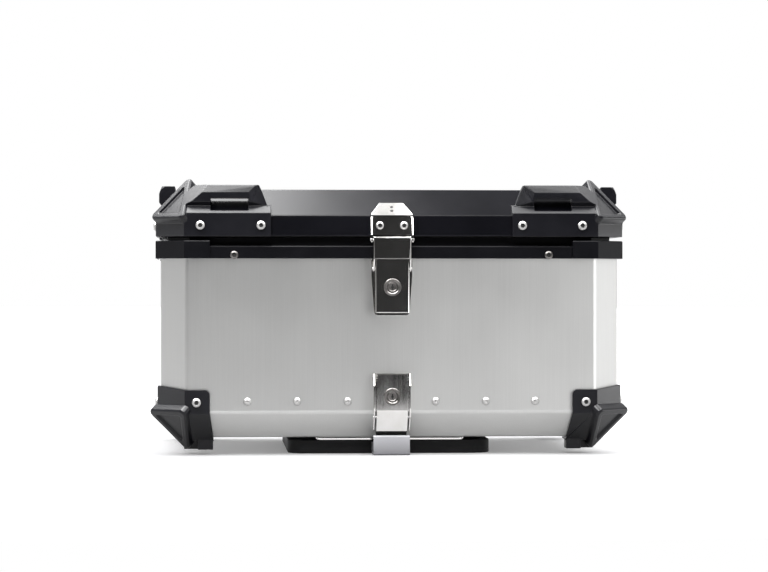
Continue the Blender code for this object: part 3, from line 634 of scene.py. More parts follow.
def slice_off(obj, corners, inside):
    """Cuts a solid by the plane through three corners and keeps the side of a given point."""
    first, second, third = (Vector(corner) * MM for corner in corners)
    normal = (second - first).cross(third - first).normalized()
    if (Vector(inside) * MM - first).dot(normal) > 0:
        normal.negate()
    bm = bmesh.new()
    bm.from_mesh(obj.data)
    sliced = bmesh.ops.bisect_plane(bm, geom=bm.verts[:] + bm.edges[:] + bm.faces[:], plane_co=first,
                                    plane_no=normal, clear_outer=True)
    rim_edges = [part for part in sliced["geom_cut"] if isinstance(part, bmesh.types.BMEdge)]
    bmesh.ops.contextual_create(bm, geom=rim_edges)
    bm.to_mesh(obj.data)
    bm.free()


def strap_loops(shield):
    """The two bars over the lid's top edge, one on each wing."""
    front_section = rounded([(HALF_DEPTH + u, z) for u, z in LOOP_PROFILE], LOOP_RADII)
    side_section = rounded([(HALF_WIDTH + u, z) for u, z in LOOP_PROFILE], LOOP_RADII)
    ends = rounded(LOOP_OUTLINE, [0, 0, 0, 4, 0, 0])
    front = along_x("front_loop", front_section, 140, 262)
    keep_inside(front, along_y("front_loop_ends", ends, 100, 260))
    side = along_y("side_loop", side_section, 140 - SHIFT, 142)
    keep_inside(side, along_x("side_loop_ends", [(x - SHIFT, z) for x, z in ends], 180, 340))
    back, (first, last) = HALF_DEPTH - BAR_DEPTH, SLOT
    cut(front, box("front_room", (first + 0.5, 150, 280), (last - 0.5, back, 335)))
    cut(side, box("side_room", (230, first + 0.5 - SHIFT, 280), (back + SHIFT, last - 0.5 - SHIFT, 335)))
    outside = [(-120, -60), (120, -60), (120, 120), (-120, 120)]
    slice_off(front, [(place, HALF_DEPTH + u, z) for place, u, z in LOOP_FACET], (HALF_WIDTH, 0, 0))
    slice_off(side, [(HALF_WIDTH + u, place - SHIFT, z) for place, u, z in LOOP_FACET], (0, HALF_DEPTH, 0))
    return [cut(loop, prism("beyond", outside, 50, shield @ shifted(0, 0, 25))) for loop in (front, side)]


def lid_guard():
    """One lid corner guard, in the quarter where x and y are positive."""
    shield = shield_place((270.5, 188.5, 286), 1.146)
    guard = lid_block("lid_guard", GUARD_U, GUARD_LOW, GUARD_CREASE)
    keep_inside(guard, box("reach", (GUARD_REACH, GUARD_REACH - SHIFT, 250), (320, 240, GUARD_LEDGE)))
    join(guard, *strap_loops(shield))
    add_shield(guard, shield, 28, 65, 14, 3.5)
    low, high = SLOT_HEIGHT
    first, last = SLOT
    cut(guard, box("front_slot", (first, 170, low), (last, 240, high)))
    cut(guard, box("side_slot", (250, first - SHIFT, low), (320, last - SHIFT, high)))
    cut(guard, lid_block("lid_room", LID_U + GAP, 240, LID_CREASE + 0.12, LID_TOP + GAP))
    return guard


def base_guard():
    """One lower corner guard, in the quarter where x and y are positive."""
    shield = shield_place((271, 189, 53), -1.085)
    crease = BOX_CREASE - FOOT_U * (math.sqrt(2) - 1)
    bottom = crease - CORNER_CUT - FOOT_U * DIAGONAL
    guard = box_block("base_guard", FOOT_U, bottom, crease, FOOT_TOP[1])
    reach, slant = FOOT_REACH, FOOT_BLOCK[0]
    low, high = FOOT_TOP
    front = [(slant, 0), (slant, 19), (reach, 52), (reach, low), (247, low), (277, high), (320, high),
             (320, 0)]
    side = [(slant - SHIFT, 0), (slant - SHIFT, 19), (reach - SHIFT, 52), (reach - SHIFT, high), (240, high),
            (240, 0)]
    keep_inside(guard, along_y("front_reach", rounded(front, [0, 2, 4, 6, 2, 2, 0, 0]), 100, 260))
    keep_inside(guard, along_x("side_reach", rounded(side, [0, 2, 4, 6, 0, 0]), 180, 340))
    add_shield(guard, shield, 31, 61.5, 12, 2.5)
    first, last = FOOT_BLOCK
    join(guard, box("front_foot", (first + 0.5, 148, FOOT_LOW), (last, 167.3, 18.4)))
    join(guard, box("side_foot", (230, first + 0.5 - SHIFT, FOOT_LOW), (249.3, last - SHIFT, 18.4)))
    cut(guard, box_block("box_room", GAP, BOX_BOTTOM - GAP, BOX_CREASE - 0.12, 120))
    return guard


def corner_guards():
    for kind, body, make in (("lid_guard", "lid", lid_guard), ("base_guard", "case", base_guard)):
        source = soften(make(), 0.9)
        for quarter, (sx, sy) in QUARTERS.items():
            node = f"{kind}_{quarter}"
            mirror = Matrix.Diagonal((sx, sy, 1, 1))
            dress(copies(node + "_moulding", source, [mirror]), body, "guard_plastic", node)
        bpy.data.objects.remove(source, do_unlink=True)


# ---------------- box


def push_past(tool, height, distance):
    """Moves a tool's end at a height, so that it cuts through the open side."""
    for vert in tool.data.vertices:
        if abs(vert.co.z / MM - height) < 0.5:
            vert.co.z += distance * MM


def open_box(name, u, bottom, crease, high, bend):
    """A folded sheet box, open at its top."""
    shell = box_block(name, u, bottom, crease, high, bend)
    inner_crease = crease + SHEET * (math.sqrt(2) - 1)
    inner = box_block("inside", u - SHEET, bottom + SHEET, inner_crease, high, bend - SHEET)
    push_past(inner, high, 5)
    return cut(shell, inner)


def case_box():
    body = open_box("box_body", 0, BOX_BOTTOM, BOX_CREASE, BOX_TOP, 3.0)
    dress(body, "case", "box_aluminium", "case_shell")
    u = -SHEET - GAP
    tray = open_box("tray_folded", u, BOX_BOTTOM + SHEET + GAP, BOX_CREASE - u * (math.sqrt(2) - 1), 78, 2.6)
    dress(tray, "case", "box_aluminium", "inner_tray")


def floor_mat():
    """The ribbed rubber mat in the bottom of the box."""
    low, high = node_mm("floor_mat")
    ribs = 24
    pitch = (high[0] - low[0] - 12) / ribs
    outline = [(low[0], low[2]), (low[0], high[2] - 1.2)]
    for index in range(ribs):
        start = low[0] + 6 + index * pitch
        outline += [(start, high[2] - 1.2), (start + 0.8, high[2]), (start + pitch / 2, high[2]),
                    (start + pitch / 2 + 0.8, high[2] - 1.2)]
    outline += [(high[0], high[2] - 1.2), (high[0], low[2])]
    mat = along_y("ribbed_mat", outline, low[1], high[1])
    dress(mat, "case", "rubber", "floor_mat")


def rim():
    wall = BOX_TOP + 0.4
    section = [(RIM_U, RIM_LOW), (RIM_U, RIM_TOP - 1), (RIM_U - 1, RIM_TOP), (-9, RIM_TOP), (-9, 262),
               (-12, 262), (-12, 247), (-2, 247), (-2, wall), (GAP, wall), (GAP, RIM_LOW)]
    outline = rounded(section, [0.8, 0.4, 0.3, 0.6, 0.8, 0.8, 0, 0, 0, 0, 0], 3)
    dress(ring("rim_extrusion", outline), "case", "guard_plastic", "rim_frame", surfaces=["rim_plastic"])
    bead = [(-8.6, 262.3)] + arc((-10.5, 262.3), 1.9, 0, 180, 8)[1:-1] + [(-12.4, 262.3)]
    bead = [(u, min(z, 263.2)) for u, z in bead]
    dress(ring("seal_bead", bead), "case", "rubber", "rim_seal")
    for quarter, (sx, sy) in QUARTERS.items():
        inner_u, inner_top = RIM_U + GAP, RIM_TOP + GAP
        section = [(CAP_U, RIM_LOW), (CAP_U, CAP_TOP - 1), (CAP_U - 1, CAP_TOP), (-8.7, CAP_TOP),
                   (-8.7, inner_top), (inner_u, inner_top), (inner_u, RIM_LOW)]
        cap = ring("rim_corner_" + quarter, section)
        low, high = node_mm("rim_cap_" + quarter)
        corner = box("corner", (low[0] - (5 if sx < 0 else 0), low[1] - (5 if sy < 0 else 0), 230),
                     (high[0] + (5 if sx > 0 else 0), high[1] + (5 if sy > 0 else 0), 270))
        keep_inside(cap, corner)
        dress(soften(cap, 0.35), "case", "guard_plastic", "rim_cap_" + quarter, surfaces=["rim_plastic"])


def centred_rectangle(x, y):
    return [(-x, -y), (x, -y), (x, y), (-x, y)]


def keeper_and_rack():
    low, high = node_mm("keeper_plate")
    shelf = high[2] - (BOX_BOTTOM - 0.4 - PLATE_TOP - 0.5)
    keeper = prism("keeper_sheet", rounded([(-90, -162), (90, -162), (90, 134), (-90, 134)], 8),
                   high[2] - shelf, shifted(0, 0, (high[2] + shelf) / 2))
    for side in (-1, 1):
        near, far = sorted((side * 40, side * 75))
        join(keeper, box("drop", (near, 131, 5), (far, 134, shelf + 1)))
        join(keeper, box("tongue", (near, 118, 5), (far, 132, 8)))
    dress(soften(keeper, 0.4), "case", "stainless", "keeper_plate")

    outline = rounded([(-123.5, -150), (123.5, -150), (123.5, 128), (-123.5, 128)], 22, 8)
    plate = prism("rack_plate_casting", outline, PLATE_TOP, shifted(0, 0, PLATE_TOP / 2))
    cut(plate, box("hook_room", (-82, 106, -5), (82, 140, 9.9)))
    for y in BOLT_Y:
        for side in (-1, 1):
            for half_long, radius, z_low in ((20, 4.3, -5), (26, 10, 8)):
                slot = rounded(centred_rectangle(half_long, radius), radius * 0.98, 8)
                cut(plate, prism("slot", slot, 25 - z_low, shifted(side * BOLT_X, y, (z_low + 25) / 2)))
    for y in POCKET_Y:
        pocket = rounded(centred_rectangle(95, 14), 7)
        cut(plate, prism("pocket", pocket, 10, shifted(0, y, PLATE_TOP + 1)))
    dress(soften(plate, 1.6, 3), "rack_plate", "rack_plate_black", "mounting_plate")

    section = rounded([(-1, 0), (-1, 24), (-6.5, 24), (-6.5, 22), (-3, 22), (-3, 2), (-42.7, 2), (-42.7, 14),
                       (-44.7, 14), (-44.7, 0)], [2.2, 2.2, 0, 0, 0.3, 0.5, 0.5, 0, 0, 2])
    tab = front_profile("front_tab_sheet", section, -21.9, 21.9)
    dress(soften(tab, 0.35), "rack_plate", "stainless", "plate_front_tab", surfaces=["blasted_steel"])


# ---------------- lid


def lid():
    shell = lid_block("lid_pressing", LID_U, LID_LOW, LID_CREASE, bend=1.3)
    inner_crease = LID_CREASE - SHEET * (math.sqrt(2) - 1)
    inner = lid_block("inside", LID_U - SHEET, LID_LOW, inner_crease, LID_TOP - SHEET, bend=1.5)
    push_past(inner, LID_LOW, -10)
    cut(shell, inner)
    dress(shell, "lid", "lid_sheet", "lid_shell")
    keep_node("lid_frame", "guard_plastic")


def hinges():
    """Two stainless hinges: a leaf on the box and a leaf on the lid, bored for the pin between them."""
    wall = HALF_DEPTH
    for side, sign in (("left", -1), ("right", 1)):
        centre = sign * HINGE_X
        inner, outer = 12, 25
        left, right = centre - outer, centre + outer
        barrel = (centre, wall + HINGE_V, HINGE_Z)
        lower = box("hinge_lower_" + side, (left, wall + 3.3, 206), (right, wall + 5.3, 253.5))
        join(lower, box("neck", (centre - inner, wall + 3.3, 250), (centre + inner, wall + 5.3, 259)))
        join(lower, box("block", (left, wall + 0.3, 206), (right, wall + 3.5, 235.8)))
        join(lower, cylinder("barrel", barrel, (1, 0, 0), 4.5, 2 * inner))
        cut(lower, cylinder("bore", barrel, (1, 0, 0), 2.3, 80))
        dress(soften(lower, 0.4), "case", "stainless", "hinge_case_leaf_" + side)
        upper = box("hinge_upper_" + side, (left, wall + 1.8, 264.5), (right, wall + 3.8, 287))
        for end in (-1, 1):
            near, far = sorted((centre + end * (inner + 0.4), centre + end * outer))
            join(upper, box("neck", (near, wall + 1.8, 259), (far, wall + 3.8, 266)))
            middle = ((near + far) / 2, wall + HINGE_V, HINGE_Z)
            join(upper, cylinder("barrel", middle, (1, 0, 0), 4.5, far - near))
        cut(upper, cylinder("bore", barrel, (1, 0, 0), 2.3, 80))
        dress(soften(upper, 0.4), "lid", "stainless", "hinge_lid_leaf_" + side)


def pins():
    """Round pins with domed ends, in the places of their CAD nodes."""
    for node, body in (("hinge_pin_left", "case"), ("hinge_pin_right", "case"), ("catch_pin", "lid"),
                       ("latch_pivot_pin", "case"), ("base_pivot_pin", "case")):
        low, high = node_mm(node)
        middle = [(a + b) / 2 for a, b in zip(low, high)]
        radius, half = (high[2] - low[2]) / 2, (high[0] - low[0]) / 2
        dome = radius * 0.4
        angles = [math.radians(degrees) for degrees in (60, 30, 0)]
        profile = [(0, half)]
        profile += [(radius * math.cos(a), half - dome + dome * math.sin(a)) for a in angles]
        profile += [(r, -h) for r, h in reversed(profile)]
        turn = Matrix.Rotation(math.radians(90), 4, "Y")
        pin = turned(node + "_turned", profile, shifted(*middle) @ turn, 24)
        dress(pin, body, "fastener_steel", node, angle=50)
    for side, sign in (("left", -1), ("right", 1)):
        turn = Matrix.Rotation(math.radians(90 * sign), 4, "Y")
        profile = [(0, 2.9), (1.4, 2.8), (2.0, 2.5), (2.2, 2.1), (2.2, 1.7), (1.3, 1.7), (1.3, -2.5),
                   (0, -2.5)]
        place = shifted(sign * 21.4, -HALF_DEPTH - LINK_AXIS[0], LINK_AXIS[1]) @ turn
        dress(turned("link_rivet_" + side, profile, place, 24), "lid_latch_link", "fastener_steel",
              "link_pin_" + side, angle=50)


# ---------------- latches


def plan_block(name, half_width, v_flat, v_open, bend, z_low, z_high):
    """An upright block whose two corners on its flat side are rounded."""
    flat, opening = -HALF_DEPTH - v_flat, -HALF_DEPTH - v_open
    outline = [(-half_width, opening), (-half_width, flat), (half_width, flat), (half_width, opening)]
    return along_z(name, rounded(outline, [0, bend, bend, 0]), z_low, z_high)


def at_front(v, z):
    return (0, -HALF_DEPTH - v, z)


def keeper_bridge(name, z, half_width, half_slot):
    """The raised bridge that a lock's cam turns behind."""
    outer = half_slot + 3
    section = [(1.5, z - outer), (6.7, z - outer), (6.7, z + outer), (1.5, z + outer)]
    bridge = front_profile(name, rounded(section, [0, 2, 2, 0]), -half_width, half_width)
    inside = [(-5, z - outer + 2), (5.2, z - outer + 2), (5.2, z + outer - 2), (-5, z + outer - 2)]
    cut(bridge, front_profile("hollow", inside, -half_width - 5, half_width + 5))
    cut(bridge, front_box("slot", (-3.4, -5, z - half_slot), (3.4, 9, z + half_slot)))
    return bridge


def cross_holes(obj, *places):
    for v, z in places:
        cut(obj, cylinder("hole", at_front(v, z), (1, 0, 0), 1.6, 80, 20))


def latch_base():
    outline = rounded([(-21, 168), (21, 168), (24.5, 215), (24.5, 236), (-24.5, 236), (-24.5, 215)],
                      [4, 4, 6, 1, 1, 6])
    base = front_plate("latch_base_sheet", outline, 0.3, 1.8)
    ear = rounded([(1.2, 222), (1.2, 235.8), (8.5, 235.8), (10.3, 234.5), (10.3, 231.5), (8.5, 229.5)],
                  [0, 0, 1, 1, 1, 1], 3)
    join(base, *both_sides("ear", ear, 16.3, 18))
    join(base, keeper_bridge("bridge", LID_LOCK_Z, 12, 9.8))
    cross_holes(base, LATCH_AXIS)
    dress(soften(base, 0.3), "case", "stainless", "latch_base")
    keep_node("latch_backing_plate", "stainless", 0.4)


def lock_housing(name, z, body, node):
    """A flanged barrel that stands in a hole of the latch lever, with a rolled bright rim."""
    face = LOCK_FACE
    profile = [(7, face + 1.6)] + arc((8.6, face + 0.9), 1.5, 140, 90, 3)
    profile += arc((9.3, face + 1.2), 1.2, 80, 0, 4)
    profile += [(10.5, face + 0.3), (8.7, face + 0.3), (8.7, 7.4), (7, 7.4), (7, face + 1.6)]
    housing = turned(name, profile, Matrix.Translation(Vector(at_front(0, z)) * MM) @ FRONT, 48)
    dress(housing, body, "stainless", node, surfaces=["lock_steel"], angle=50)


def lock_plug(name, z, body, node, cam_half):
    """The turning core of a lock with its key slot, dust shutter and cam."""
    base, top = LOCK_FACE - 5.1, LOCK_FACE + 1.8
    shoulder = top - 0.5
    profile = [(0, shoulder), (4.4, shoulder), (4.9, top), (6.1, top), (6.7, shoulder), (6.7, base),
               (0, base)]
    plug = turned(name, profile, Matrix.Translation(Vector(at_front(0, z)) * MM) @ FRONT, 48)
    low, high = 2.7, base + 1
    join(plug, cylinder("shaft", at_front((low + high) / 2, z), (0, 1, 0), 2.5, high - low, 20))
    join(plug, front_box("cam", (-2.8, 2.7, z - cam_half), (2.8, 4.6, z + cam_half)))
    cut(plug, front_box("key_slot", (-0.8, LOCK_FACE, z - 3.3), (0.8, LOCK_FACE + 5, z + 3.3)))
    cut(plug, front_box("wards", (-1.6, LOCK_FACE + 0.4, z - 1), (1.6, LOCK_FACE + 5, z + 1)))
    soften(plug, 0.18, 2, 40)
    # Painted shade: faces deep in the key slot take the dark second material.
    for face in plug.data.polygons:
        middle = face.center / MM
        deep = middle.y > -HALF_DEPTH - top + 0.7
        face.material_index = 1 if deep and abs(middle.x) < 1.7 and abs(middle.z - z) < 3.4 else 0
    dress(plug, body, "fastener_steel", node, surfaces=["lock_steel", "dark_steel_and_painted_shade"])


def latch_lever():
    side = rounded([(12.5, 236), (6, 236), (4, 233.5), (3.2, 224), (4.5, 216), (7, 185), (9, 171.5),
                    (12.5, 171)], [1, 1.5, 2, 6, 10, 3, 1.5, 1])
    lever = front_profile("lever_sheet", side, -20.5, 20.5)
    keep_inside(lever, plan_block("bends", 20.5, 12.5, -5, 2.6, 160, 240))
    hollow = front_profile("hollow", [(11, 240), (-5, 240), (-5, 173), (11, 173)], -19, 19)
    keep_inside(hollow, plan_block("inner_bends", 19, 11, -6, 1.2, 160, 241))
    cut(lever, hollow)
    cut(lever, cylinder("lock_hole", at_front(12, LID_LOCK_Z), (0, 1, 0), 9, 8, 48))
    cross_holes(lever, LATCH_AXIS, LINK_AXIS)
    dress(soften(lever, 0.3), "lid_latch", "stainless", "latch_lever")
    lock_housing("lid_lock_collar", LID_LOCK_Z, "lid_latch", "lid_lock_housing")
    lock_plug("lid_lock_core", LID_LOCK_Z, "lid_lock", "lid_lock_plug", 8.5)


def latch_link():
    side = rounded([(14.8, 262.6), (8, 262.6), (8, 261.1), (13.3, 261.1), (13.3, 248), (10.5, 246),
                    (4.4, 230), (3.1, 226), (3.1, 222), (4.5, 220.5), (7, 220.5), (8.6, 222), (14.8, 236.5)],
                   [2.2, 0, 0, 0.7, 1, 2, 4, 1.5, 1.5, 1, 1, 1, 0])
    link = front_profile("link_sheet", side, -22.8, 22.8)
    keep_inside(link, plan_block("bends", 22.8, 14.8, -5, 2.6, 215, 270))
    hollow = front_profile("hollow", [(13.3, 261.1), (-5, 261.1), (-5, 210), (13.3, 210)], -21.2, 21.2)
    keep_inside(hollow, plan_block("inner_bends", 21.2, 13.3, -6, 1.1, 205, 265))
    cut(link, hollow)
    cut(link, front_box("square_end", (-21.2, 12.9, 200), (21.2, 16, 236.2)))
    cross_holes(link, LINK_AXIS)
    dress(soften(link, 0.3), "lid_latch_link", "stainless", "latch_link")


def latch_catch():
    """The catch on the lid: a face plate, a flap up the chamfer and two ears for its pin."""
    ear = rounded([(1.8, 287.5), (2.5, 287), (6, 284), (12, 264), (12.3, 257), (11, 255.3), (8, 255.3),
                   (5.5, 258), (2.5, 264.5), (1.8, 264.5)], [0, 0, 5, 8, 2, 1.5, 2, 2, 0, 0])
    catch = front_profile("catch_sheet", ear, -25.3, 25.3)
    keep_inside(catch, plan_block("outer_bends", 25.3, 1.8, 20, 2.8, 250, 292))
    hollow = front_box("hollow", (-23.8, 3.3, 250), (23.8, 30, 295))
    keep_inside(hollow, plan_block("inner_bends", 23.8, 3.3, 30, 1.5, 249, 296))
    cut(catch, hollow)
    cut(catch, front_box("below_face", (-23.2, 0, 250), (23.2, 5, 264.5)))
    join(catch, front_profile("face", [(1.8, 264.5), (3.3, 264.5), (3.3, 288.9), (1.8, 288.3)], -24.5, 24.5))
    rise = 20.2
    slope = Matrix.Rotation(math.radians(-45), 4, "X")
    flap = rounded([(-24.5, -0.6), (24.5, -0.6), (24.5, 1.5), (14.2, rise), (-14.2, rise), (-24.5, 1.5)],
                   [0, 0, 3, 2, 2, 3])
    hinge_line = Matrix.Translation(Vector(at_front(2.55, 288.7)) * MM)
    join(catch, prism("flap", flap, 1.5, hinge_line @ slope @ FRONT))
    cut(catch, cylinder("hole", at_front(*CATCH_PIN), (1, 0, 0), 2.3, 80, 24))
    dress(soften(catch, 0.3), "lid", "stainless", "latch_catch")
    return hinge_line @ slope @ FRONT


def base_bracket():
    side = rounded([(0.3, 98.5), (3.5, 98.5), (10.6, 84), (10.6, 56), (8.5, 48), (-6.5, 29.6), (-14, 29.6),
                    (-21.4, 30.0), (0.3, 51.4)], [0, 2, 2, 6, 6, 2, 0, 0, 3])
    bracket = front_profile("bracket_sheet", side, -22.2, 22.2)
    keep_inside(bracket, plan_block("outer_bends", 22.2, -25, 20, 0.0, 20, 110))
    inside = [(1.8, 120), (40, 120), (40, 10), (-40, 10), (-40, 20), (1.8, 53)]
    hollow = front_profile("hollow", inside, -20.7, 20.7)
    cut(bracket, hollow)
    join(bracket, keeper_bridge("bridge", BASE_LOCK_Z, 12, 9.3))
    cross_holes(bracket, BASE_AXIS)
    dress(soften(bracket, 0.3), "case", "stainless", "base_latch_bracket")


def base_lever():
    section = rounded([(12.5, 97.5), (11, 97.5), (11, 54.4), (-3.2, 29.9), (-14.5, 29), (-14.5, 15), (-9, 15),
                       (-5, 18), (-5, 20.5), (-9, 21), (-12, 21.4), (-12, 27.6), (-2.2, 28.4), (12.5, 54)],
                      [0, 0, 1.2, 0.8, 0.8, 0.8, 0.8, 0.8, 0.8, 0.8, 0.8, 0.6, 1.6, 2.4])
    lever = front_profile("base_lever_sheet", section, -18.6, 18.6)
    flange = rounded([(11.5, 97), (8, 92), (5.5, 60), (1.5, 48), (1.5, 44.5), (4.6, 42.2), (11.8, 54)],
                     [0, 2, 5, 2, 1.5, 0, 0])
    join(lever, *both_sides("flange", flange, 17.2, 18.6))
    cut(lever, cylinder("lock_hole", at_front(12, BASE_LOCK_Z), (0, 1, 0), 9, 8, 48))
    cross_holes(lever, BASE_AXIS)
    soften(lever, 0.35)
    # Painted shade: the hook's faces below the sloped face take the dark second material, for the dark gap
    # above the front tab.
    for face in lever.data.polygons:
        middle = face.center / MM
        face.material_index = 1 if middle.z < 29.2 and middle.y > -HALF_DEPTH + 1.5 else 0
    dress(lever, "base_latch", "stainless", "base_latch_lever", surfaces=["stainless", "dark_steel_and_painted_shade"])
    lock_housing("base_lock_collar", BASE_LOCK_Z, "base_latch", "base_lock_housing")
    lock_plug("base_lock_core", BASE_LOCK_Z, "base_lock", "base_lock_plug", 7.5)


# ---------------- fasteners


def screw_shape(head, height, shank):
    """A button-head screw with a hexagon socket, its head standing on the local plane."""
    crown = [(0, height), (head * 0.52, height)]
    crown += [(head * 0.52 + head * 0.48 * math.sin(math.radians(a)),
               0.7 + (height - 0.7) * math.cos(math.radians(a))) for a in (20, 40, 60, 80, 90)]
    profile = crown + [(head, 0), (2.2, 0), (2.2, -shank), (0, -shank)]
    screw = turned("screw", profile, None, 32)
    hexagon = [(2.8 * math.cos(math.radians(a)), 2.8 * math.sin(math.radians(a))) for a in range(0, 360, 60)]
    cut(screw, prism("socket", hexagon, 3.8, shifted(0, 0, height)))
    # Painted shade: the faces inside the hexagon socket take the dark second material.
    for face in screw.data.polygons:
        middle = face.center / MM
        in_socket = math.hypot(middle.x, middle.y) < 2.75 and 0 < middle.z < height - 0.05
        face.material_index = 1 if in_socket else 0
    return screw


def rivet_shape():
    """A blind rivet's dome with the end of its mandrel sunk in the middle."""
    profile = [(0, 1.1), (1.0, 1.1), (1.2, 2.0), (1.7, 2.15), (3, 1.9), (4.1, 1.2), (4.8, 0.4), (5, 0),
               (2.2, 0), (2.2, -4.2), (0, -4.2)]
    return turned("rivet", profile, None, 32)


def on_front(v, z, x, sy=-1):
    """The place of a fastener on the front or, with sy 1, on the back; its axis points outwards."""
    turn = Matrix.Rotation(math.radians(90), 4, "X")
    if sy > 0:
        turn = Matrix.Rotation(math.radians(180), 4, "Z") @ turn
    return shifted(x, sy * (HALF_DEPTH + v), z) @ turn


def on_side(u, z, y, sx):
    return shifted(sx * (HALF_WIDTH + u), y, z) @ Matrix.Rotation(math.radians(90 * sx), 4, "Y")


def group(name, source, places, body, nodes=(), surface="fastener_steel"):
    # The second material is the dark steel that paints shade into sockets.
    surfaces = [surface, "dark_steel_and_painted_shade"]
    dress(copies(name, source, places), body, "fastener_steel", *nodes, surfaces=surfaces, angle=50)
    bpy.data.objects.remove(source, do_unlink=True)


def on_all_walls(v, z, *front_places):
    """Places along x on both long walls, then the same distances from the corners on both ends."""
    signs = [(sx, sy) for sx in (-1, 1) for sy in (-1, 1)]
    places = [on_front(v, z, sx * x, sy) for x in front_places for sx, sy in signs]
    return places + [on_side(v, z, sy * (x - SHIFT), sx) for x in front_places for sx, sy in signs]


def fasteners():
    both = (-1, 1)
    nodes = [f"guard_screw_{side}_{label}" for side in ("left", "right") for label in ("inner", "outer")]
    places = on_all_walls(GUARD_U + GAP, GUARD_SCREW_Z, *GUARD_SCREWS)
    group("guard_screws", screw_shape(5.5, 2.7, 3), places, "lid", nodes)

    x, z = FOOT_SCREW
    nodes = ["foot_screw_left", "foot_screw_right"]
    group("foot_screws", screw_shape(5.5, 2.7, 3), on_all_walls(FOOT_U + GAP, z, x), "case", nodes)

    x, z = RIM_SCREW
    nodes = ["rim_screw_left", "rim_screw_right"]
    places = on_all_walls(RIM_U + GAP, z, x)
    group("rim_screws", screw_shape(5, 2.4, 1.2), places, "case", nodes, "lock_steel")

    places = [on_front(GAP, RIVET_Z, sx * x, sy) for x in RIVET_X for sx in both for sy in both]
    nodes = [f"tray_rivet_{side}_{number}" for side in ("left", "right") for number in (1, 2, 3)]
    group("tray_rivets", rivet_shape(), places, "case", nodes)

    places = [on_front(3.3 + GAP, GUARD_SCREW_Z, sx * 14.5) for sx in both]
    nodes = ["catch_screw_left", "catch_screw_right"]
    group("catch_screws", screw_shape(4.8, 2.4, 1.2), places, "lid", nodes)

    places = [on_front(5.3, z, sx * HINGE_X + dx, 1) for sx in both for dx in (-16, 16) for z in (214, 229)]
    group("hinge_case_screws", screw_shape(4, 2, 1), places, "case")
    places = [on_front(3.8, 278, sx * HINGE_X + dx, 1) for sx in both for dx in (-16, 16)]
    group("hinge_lid_screws", screw_shape(4, 2, 1), places, "lid")


def flap_rivets(flap_place):
    """Two small rivets that hold the catch's flap to the lid's chamfer."""
    profile = [(0, 0.6), (1.1, 0.55), (1.8, 0.3), (2.1, 0), (2.1, -0.6), (0, -0.6)]
    source = turned("flap_rivet", profile, None, 20)
    places = [flap_place @ shifted(0, height, 0.75) for height in (6.5, 13)]
    group("catch_flap_rivets", source, places, "lid", surface="dark_steel_and_painted_shade")


# ---------------- studio


def aim(obj, target):
    obj.rotation_euler = (Vector(target) - obj.location).to_track_quat("-Z", "Y").to_euler()


def placed_light(name, kind, place, target, energy, **settings):
    light = bpy.data.lights.new(name, kind)
    light.energy = energy
    for key, value in settings.items():
        setattr(light, key, value)
    obj = bpy.data.objects.new(name, light)
    obj.location = place
    bpy.context.scene.collection.objects.link(obj)
    aim(obj, target)
    return obj


def softbox(name, place, target, size, power):
    return placed_light(name, "AREA", place, target, power, shape="RECTANGLE", size=size[0], size_y=size[1])


def sun(name, place, spread_degrees, strength):
    """Parallel light from a place towards the origin."""
    return placed_light(name, "SUN", place, (0, 0, 0), strength, angle=math.radians(spread_degrees))


def limit(light, state, *objects):
    """Keeps a light to some objects (INCLUDE) or off them (EXCLUDE)."""
    receivers = bpy.data.collections.new(light.name + "_receivers")
    light.light_linking.receiver_collection = receivers
    for obj in objects:
        receivers.objects.link(obj)
    for link in receivers.collection_objects:
        link.light_linking.link_state = state


def camera():
    """A long lens a little to the left, level with the upper part of the box."""
    lens = bpy.data.cameras.new("camera")
    lens.sensor_width = 36
    lens.lens = LENS_MM
    obj = bpy.data.objects.new("camera", lens)
    obj.location = LOOK_AT + LOOK_FROM
    bpy.context.scene.collection.objects.link(obj)
    aim(obj, LOOK_AT)
    bpy.context.scene.camera = obj


def floor_disc():
    bm = bmesh.new()
    bmesh.ops.create_circle(bm, cap_ends=True, segments=64, radius=FLOOR_RADIUS)
    floor = new_object("studio_floor", bm, Matrix.Translation((0, FLOOR_RADIUS + FLOOR_FRONT, 0)))
    made = plain("studio_floor", 3, 2, (0.86, 0.86, 0.875), (0.9, 0.9, 0.91), 0.8)
    set_inputs(made.node_tree, made.node_tree.nodes["Principled BSDF"], Emission_Color=(1, 1, 1, 1),
               Emission_Strength=0.2)
    floor.data.materials.append(made)
    return floor


def surroundings():
    """White to the camera; for reflections dim in front of the case and brighter behind it."""
    world = bpy.data.worlds.new("studio")
    bpy.context.scene.world = world
    world.use_nodes = True
    tree = world.node_tree
    direction = add(tree, "ShaderNodeTexCoord").outputs["Generated"]
    parts = add(tree, "ShaderNodeSeparateXYZ", {0: direction})
    level = add(tree, "ShaderNodeMapRange", {"Value": parts.outputs["Y"], "From Min": -0.7, "From Max": 0.3,
                                             "To Min": 0.04, "To Max": 0.6}, interpolation_type="SMOOTHSTEP")
    seen = add(tree, "ShaderNodeLightPath").outputs["Is Camera Ray"]
    shown = add(tree, "ShaderNodeMath", {0: seen, 1: level.outputs[0]}, operation="MAXIMUM")
    background = tree.nodes["Background"]
    background.inputs["Color"].default_value = (1, 1, 1, 1)
    tree.links.new(shown.outputs[0], background.inputs["Strength"])


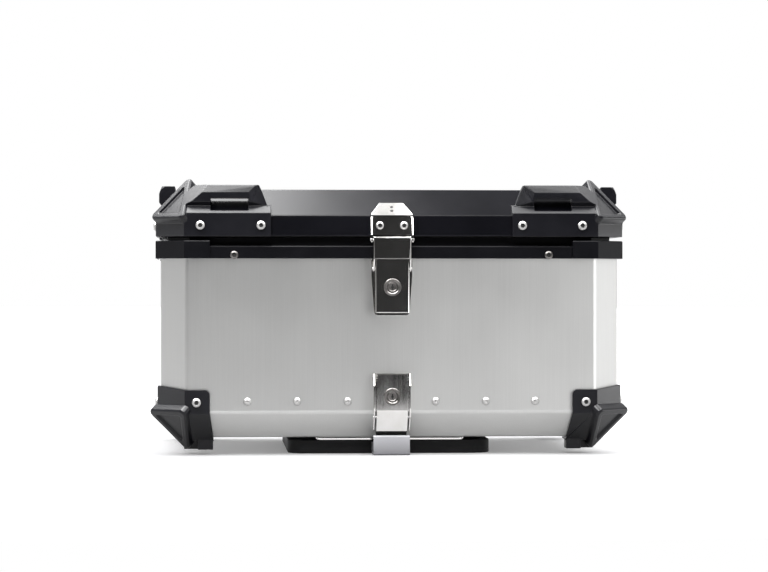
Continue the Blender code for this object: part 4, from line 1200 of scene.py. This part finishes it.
def lights(floor):
    lid_top = bpy.data.objects["lid_pressing"]
    sheet = bpy.data.objects["box_body"]
    latch = [bpy.data.objects[name] for name in ("lever_sheet", "link_sheet")]
    mouldings = [obj for obj in bpy.data.objects if obj.type == "MESH" and obj.data.materials
                 and obj.data.materials[0] == MATERIALS["guard_plastic"]]
    limit(sun("key", (1.0, -1.5, 2.4), 30, 1.6), "EXCLUDE", floor)
    limit(sun("floor_light", (0.1, -0.2, 2), 100, 3.9), "INCLUDE", floor)
    # name, centre along x, width along x, power, what it leaves out
    for name, x, width, power, left_out in (("overhead_left", -0.535, 0.93, 140, [sheet]),
                                            ("overhead_middle", 0.015, 0.17, 1.0, [lid_top]),
                                            ("overhead_right", 0.65, 1.1, 60, [lid_top, sheet])):
        light = softbox(name, (x, -0.6, 1.25), (x, -0.6, 0), (width, 2.4), power)
        limit(light, "EXCLUDE", floor, *left_out)
    # name, place, target, size, power, how it is limited, to or off what
    for name, place, target, size, power, state, objects in (
            ("right_side", (1.6, -0.3, 0.3), (0.2, -0.2, 0.15), (1.2, 1.0), 3.2, "EXCLUDE", [floor]),
            ("left_side", (-1.7, -0.3, 0.3), (-0.2, -0.2, 0.15), (1.2, 1.0), 0.8, "EXCLUDE", [floor]),
            ("right_front", (1.4, -1.4, 0.4), (0.25, -0.2, 0.15), (0.8, 0.8), 14, "INCLUDE", [sheet]),
            ("guards_right", (1.5, 0, 0), (0.25, 0, 0.05), (1.2, 0.4), 8, "INCLUDE", mouldings + latch),
            ("guards_left", (-1.5, 0, 0), (-0.25, 0, 0.05), (1.2, 0.4), 2.2, "INCLUDE", mouldings)):
        limit(softbox(name, place, target, size, power), state, *objects)


def studio():
    floor = floor_disc()
    surroundings()
    lights(floor)


# ---------------- making


def make():
    corner_guards()
    case_box()
    floor_mat()
    rim()
    keeper_and_rack()
    lid()
    hinges()
    pins()
    latch_base()
    latch_lever()
    latch_link()
    flap_place = latch_catch()
    base_bracket()
    base_lever()
    fasteners()
    flap_rivets(flap_place)
    camera()
    studio()


make()
bpy.context.scene.view_settings.view_transform = "Standard"
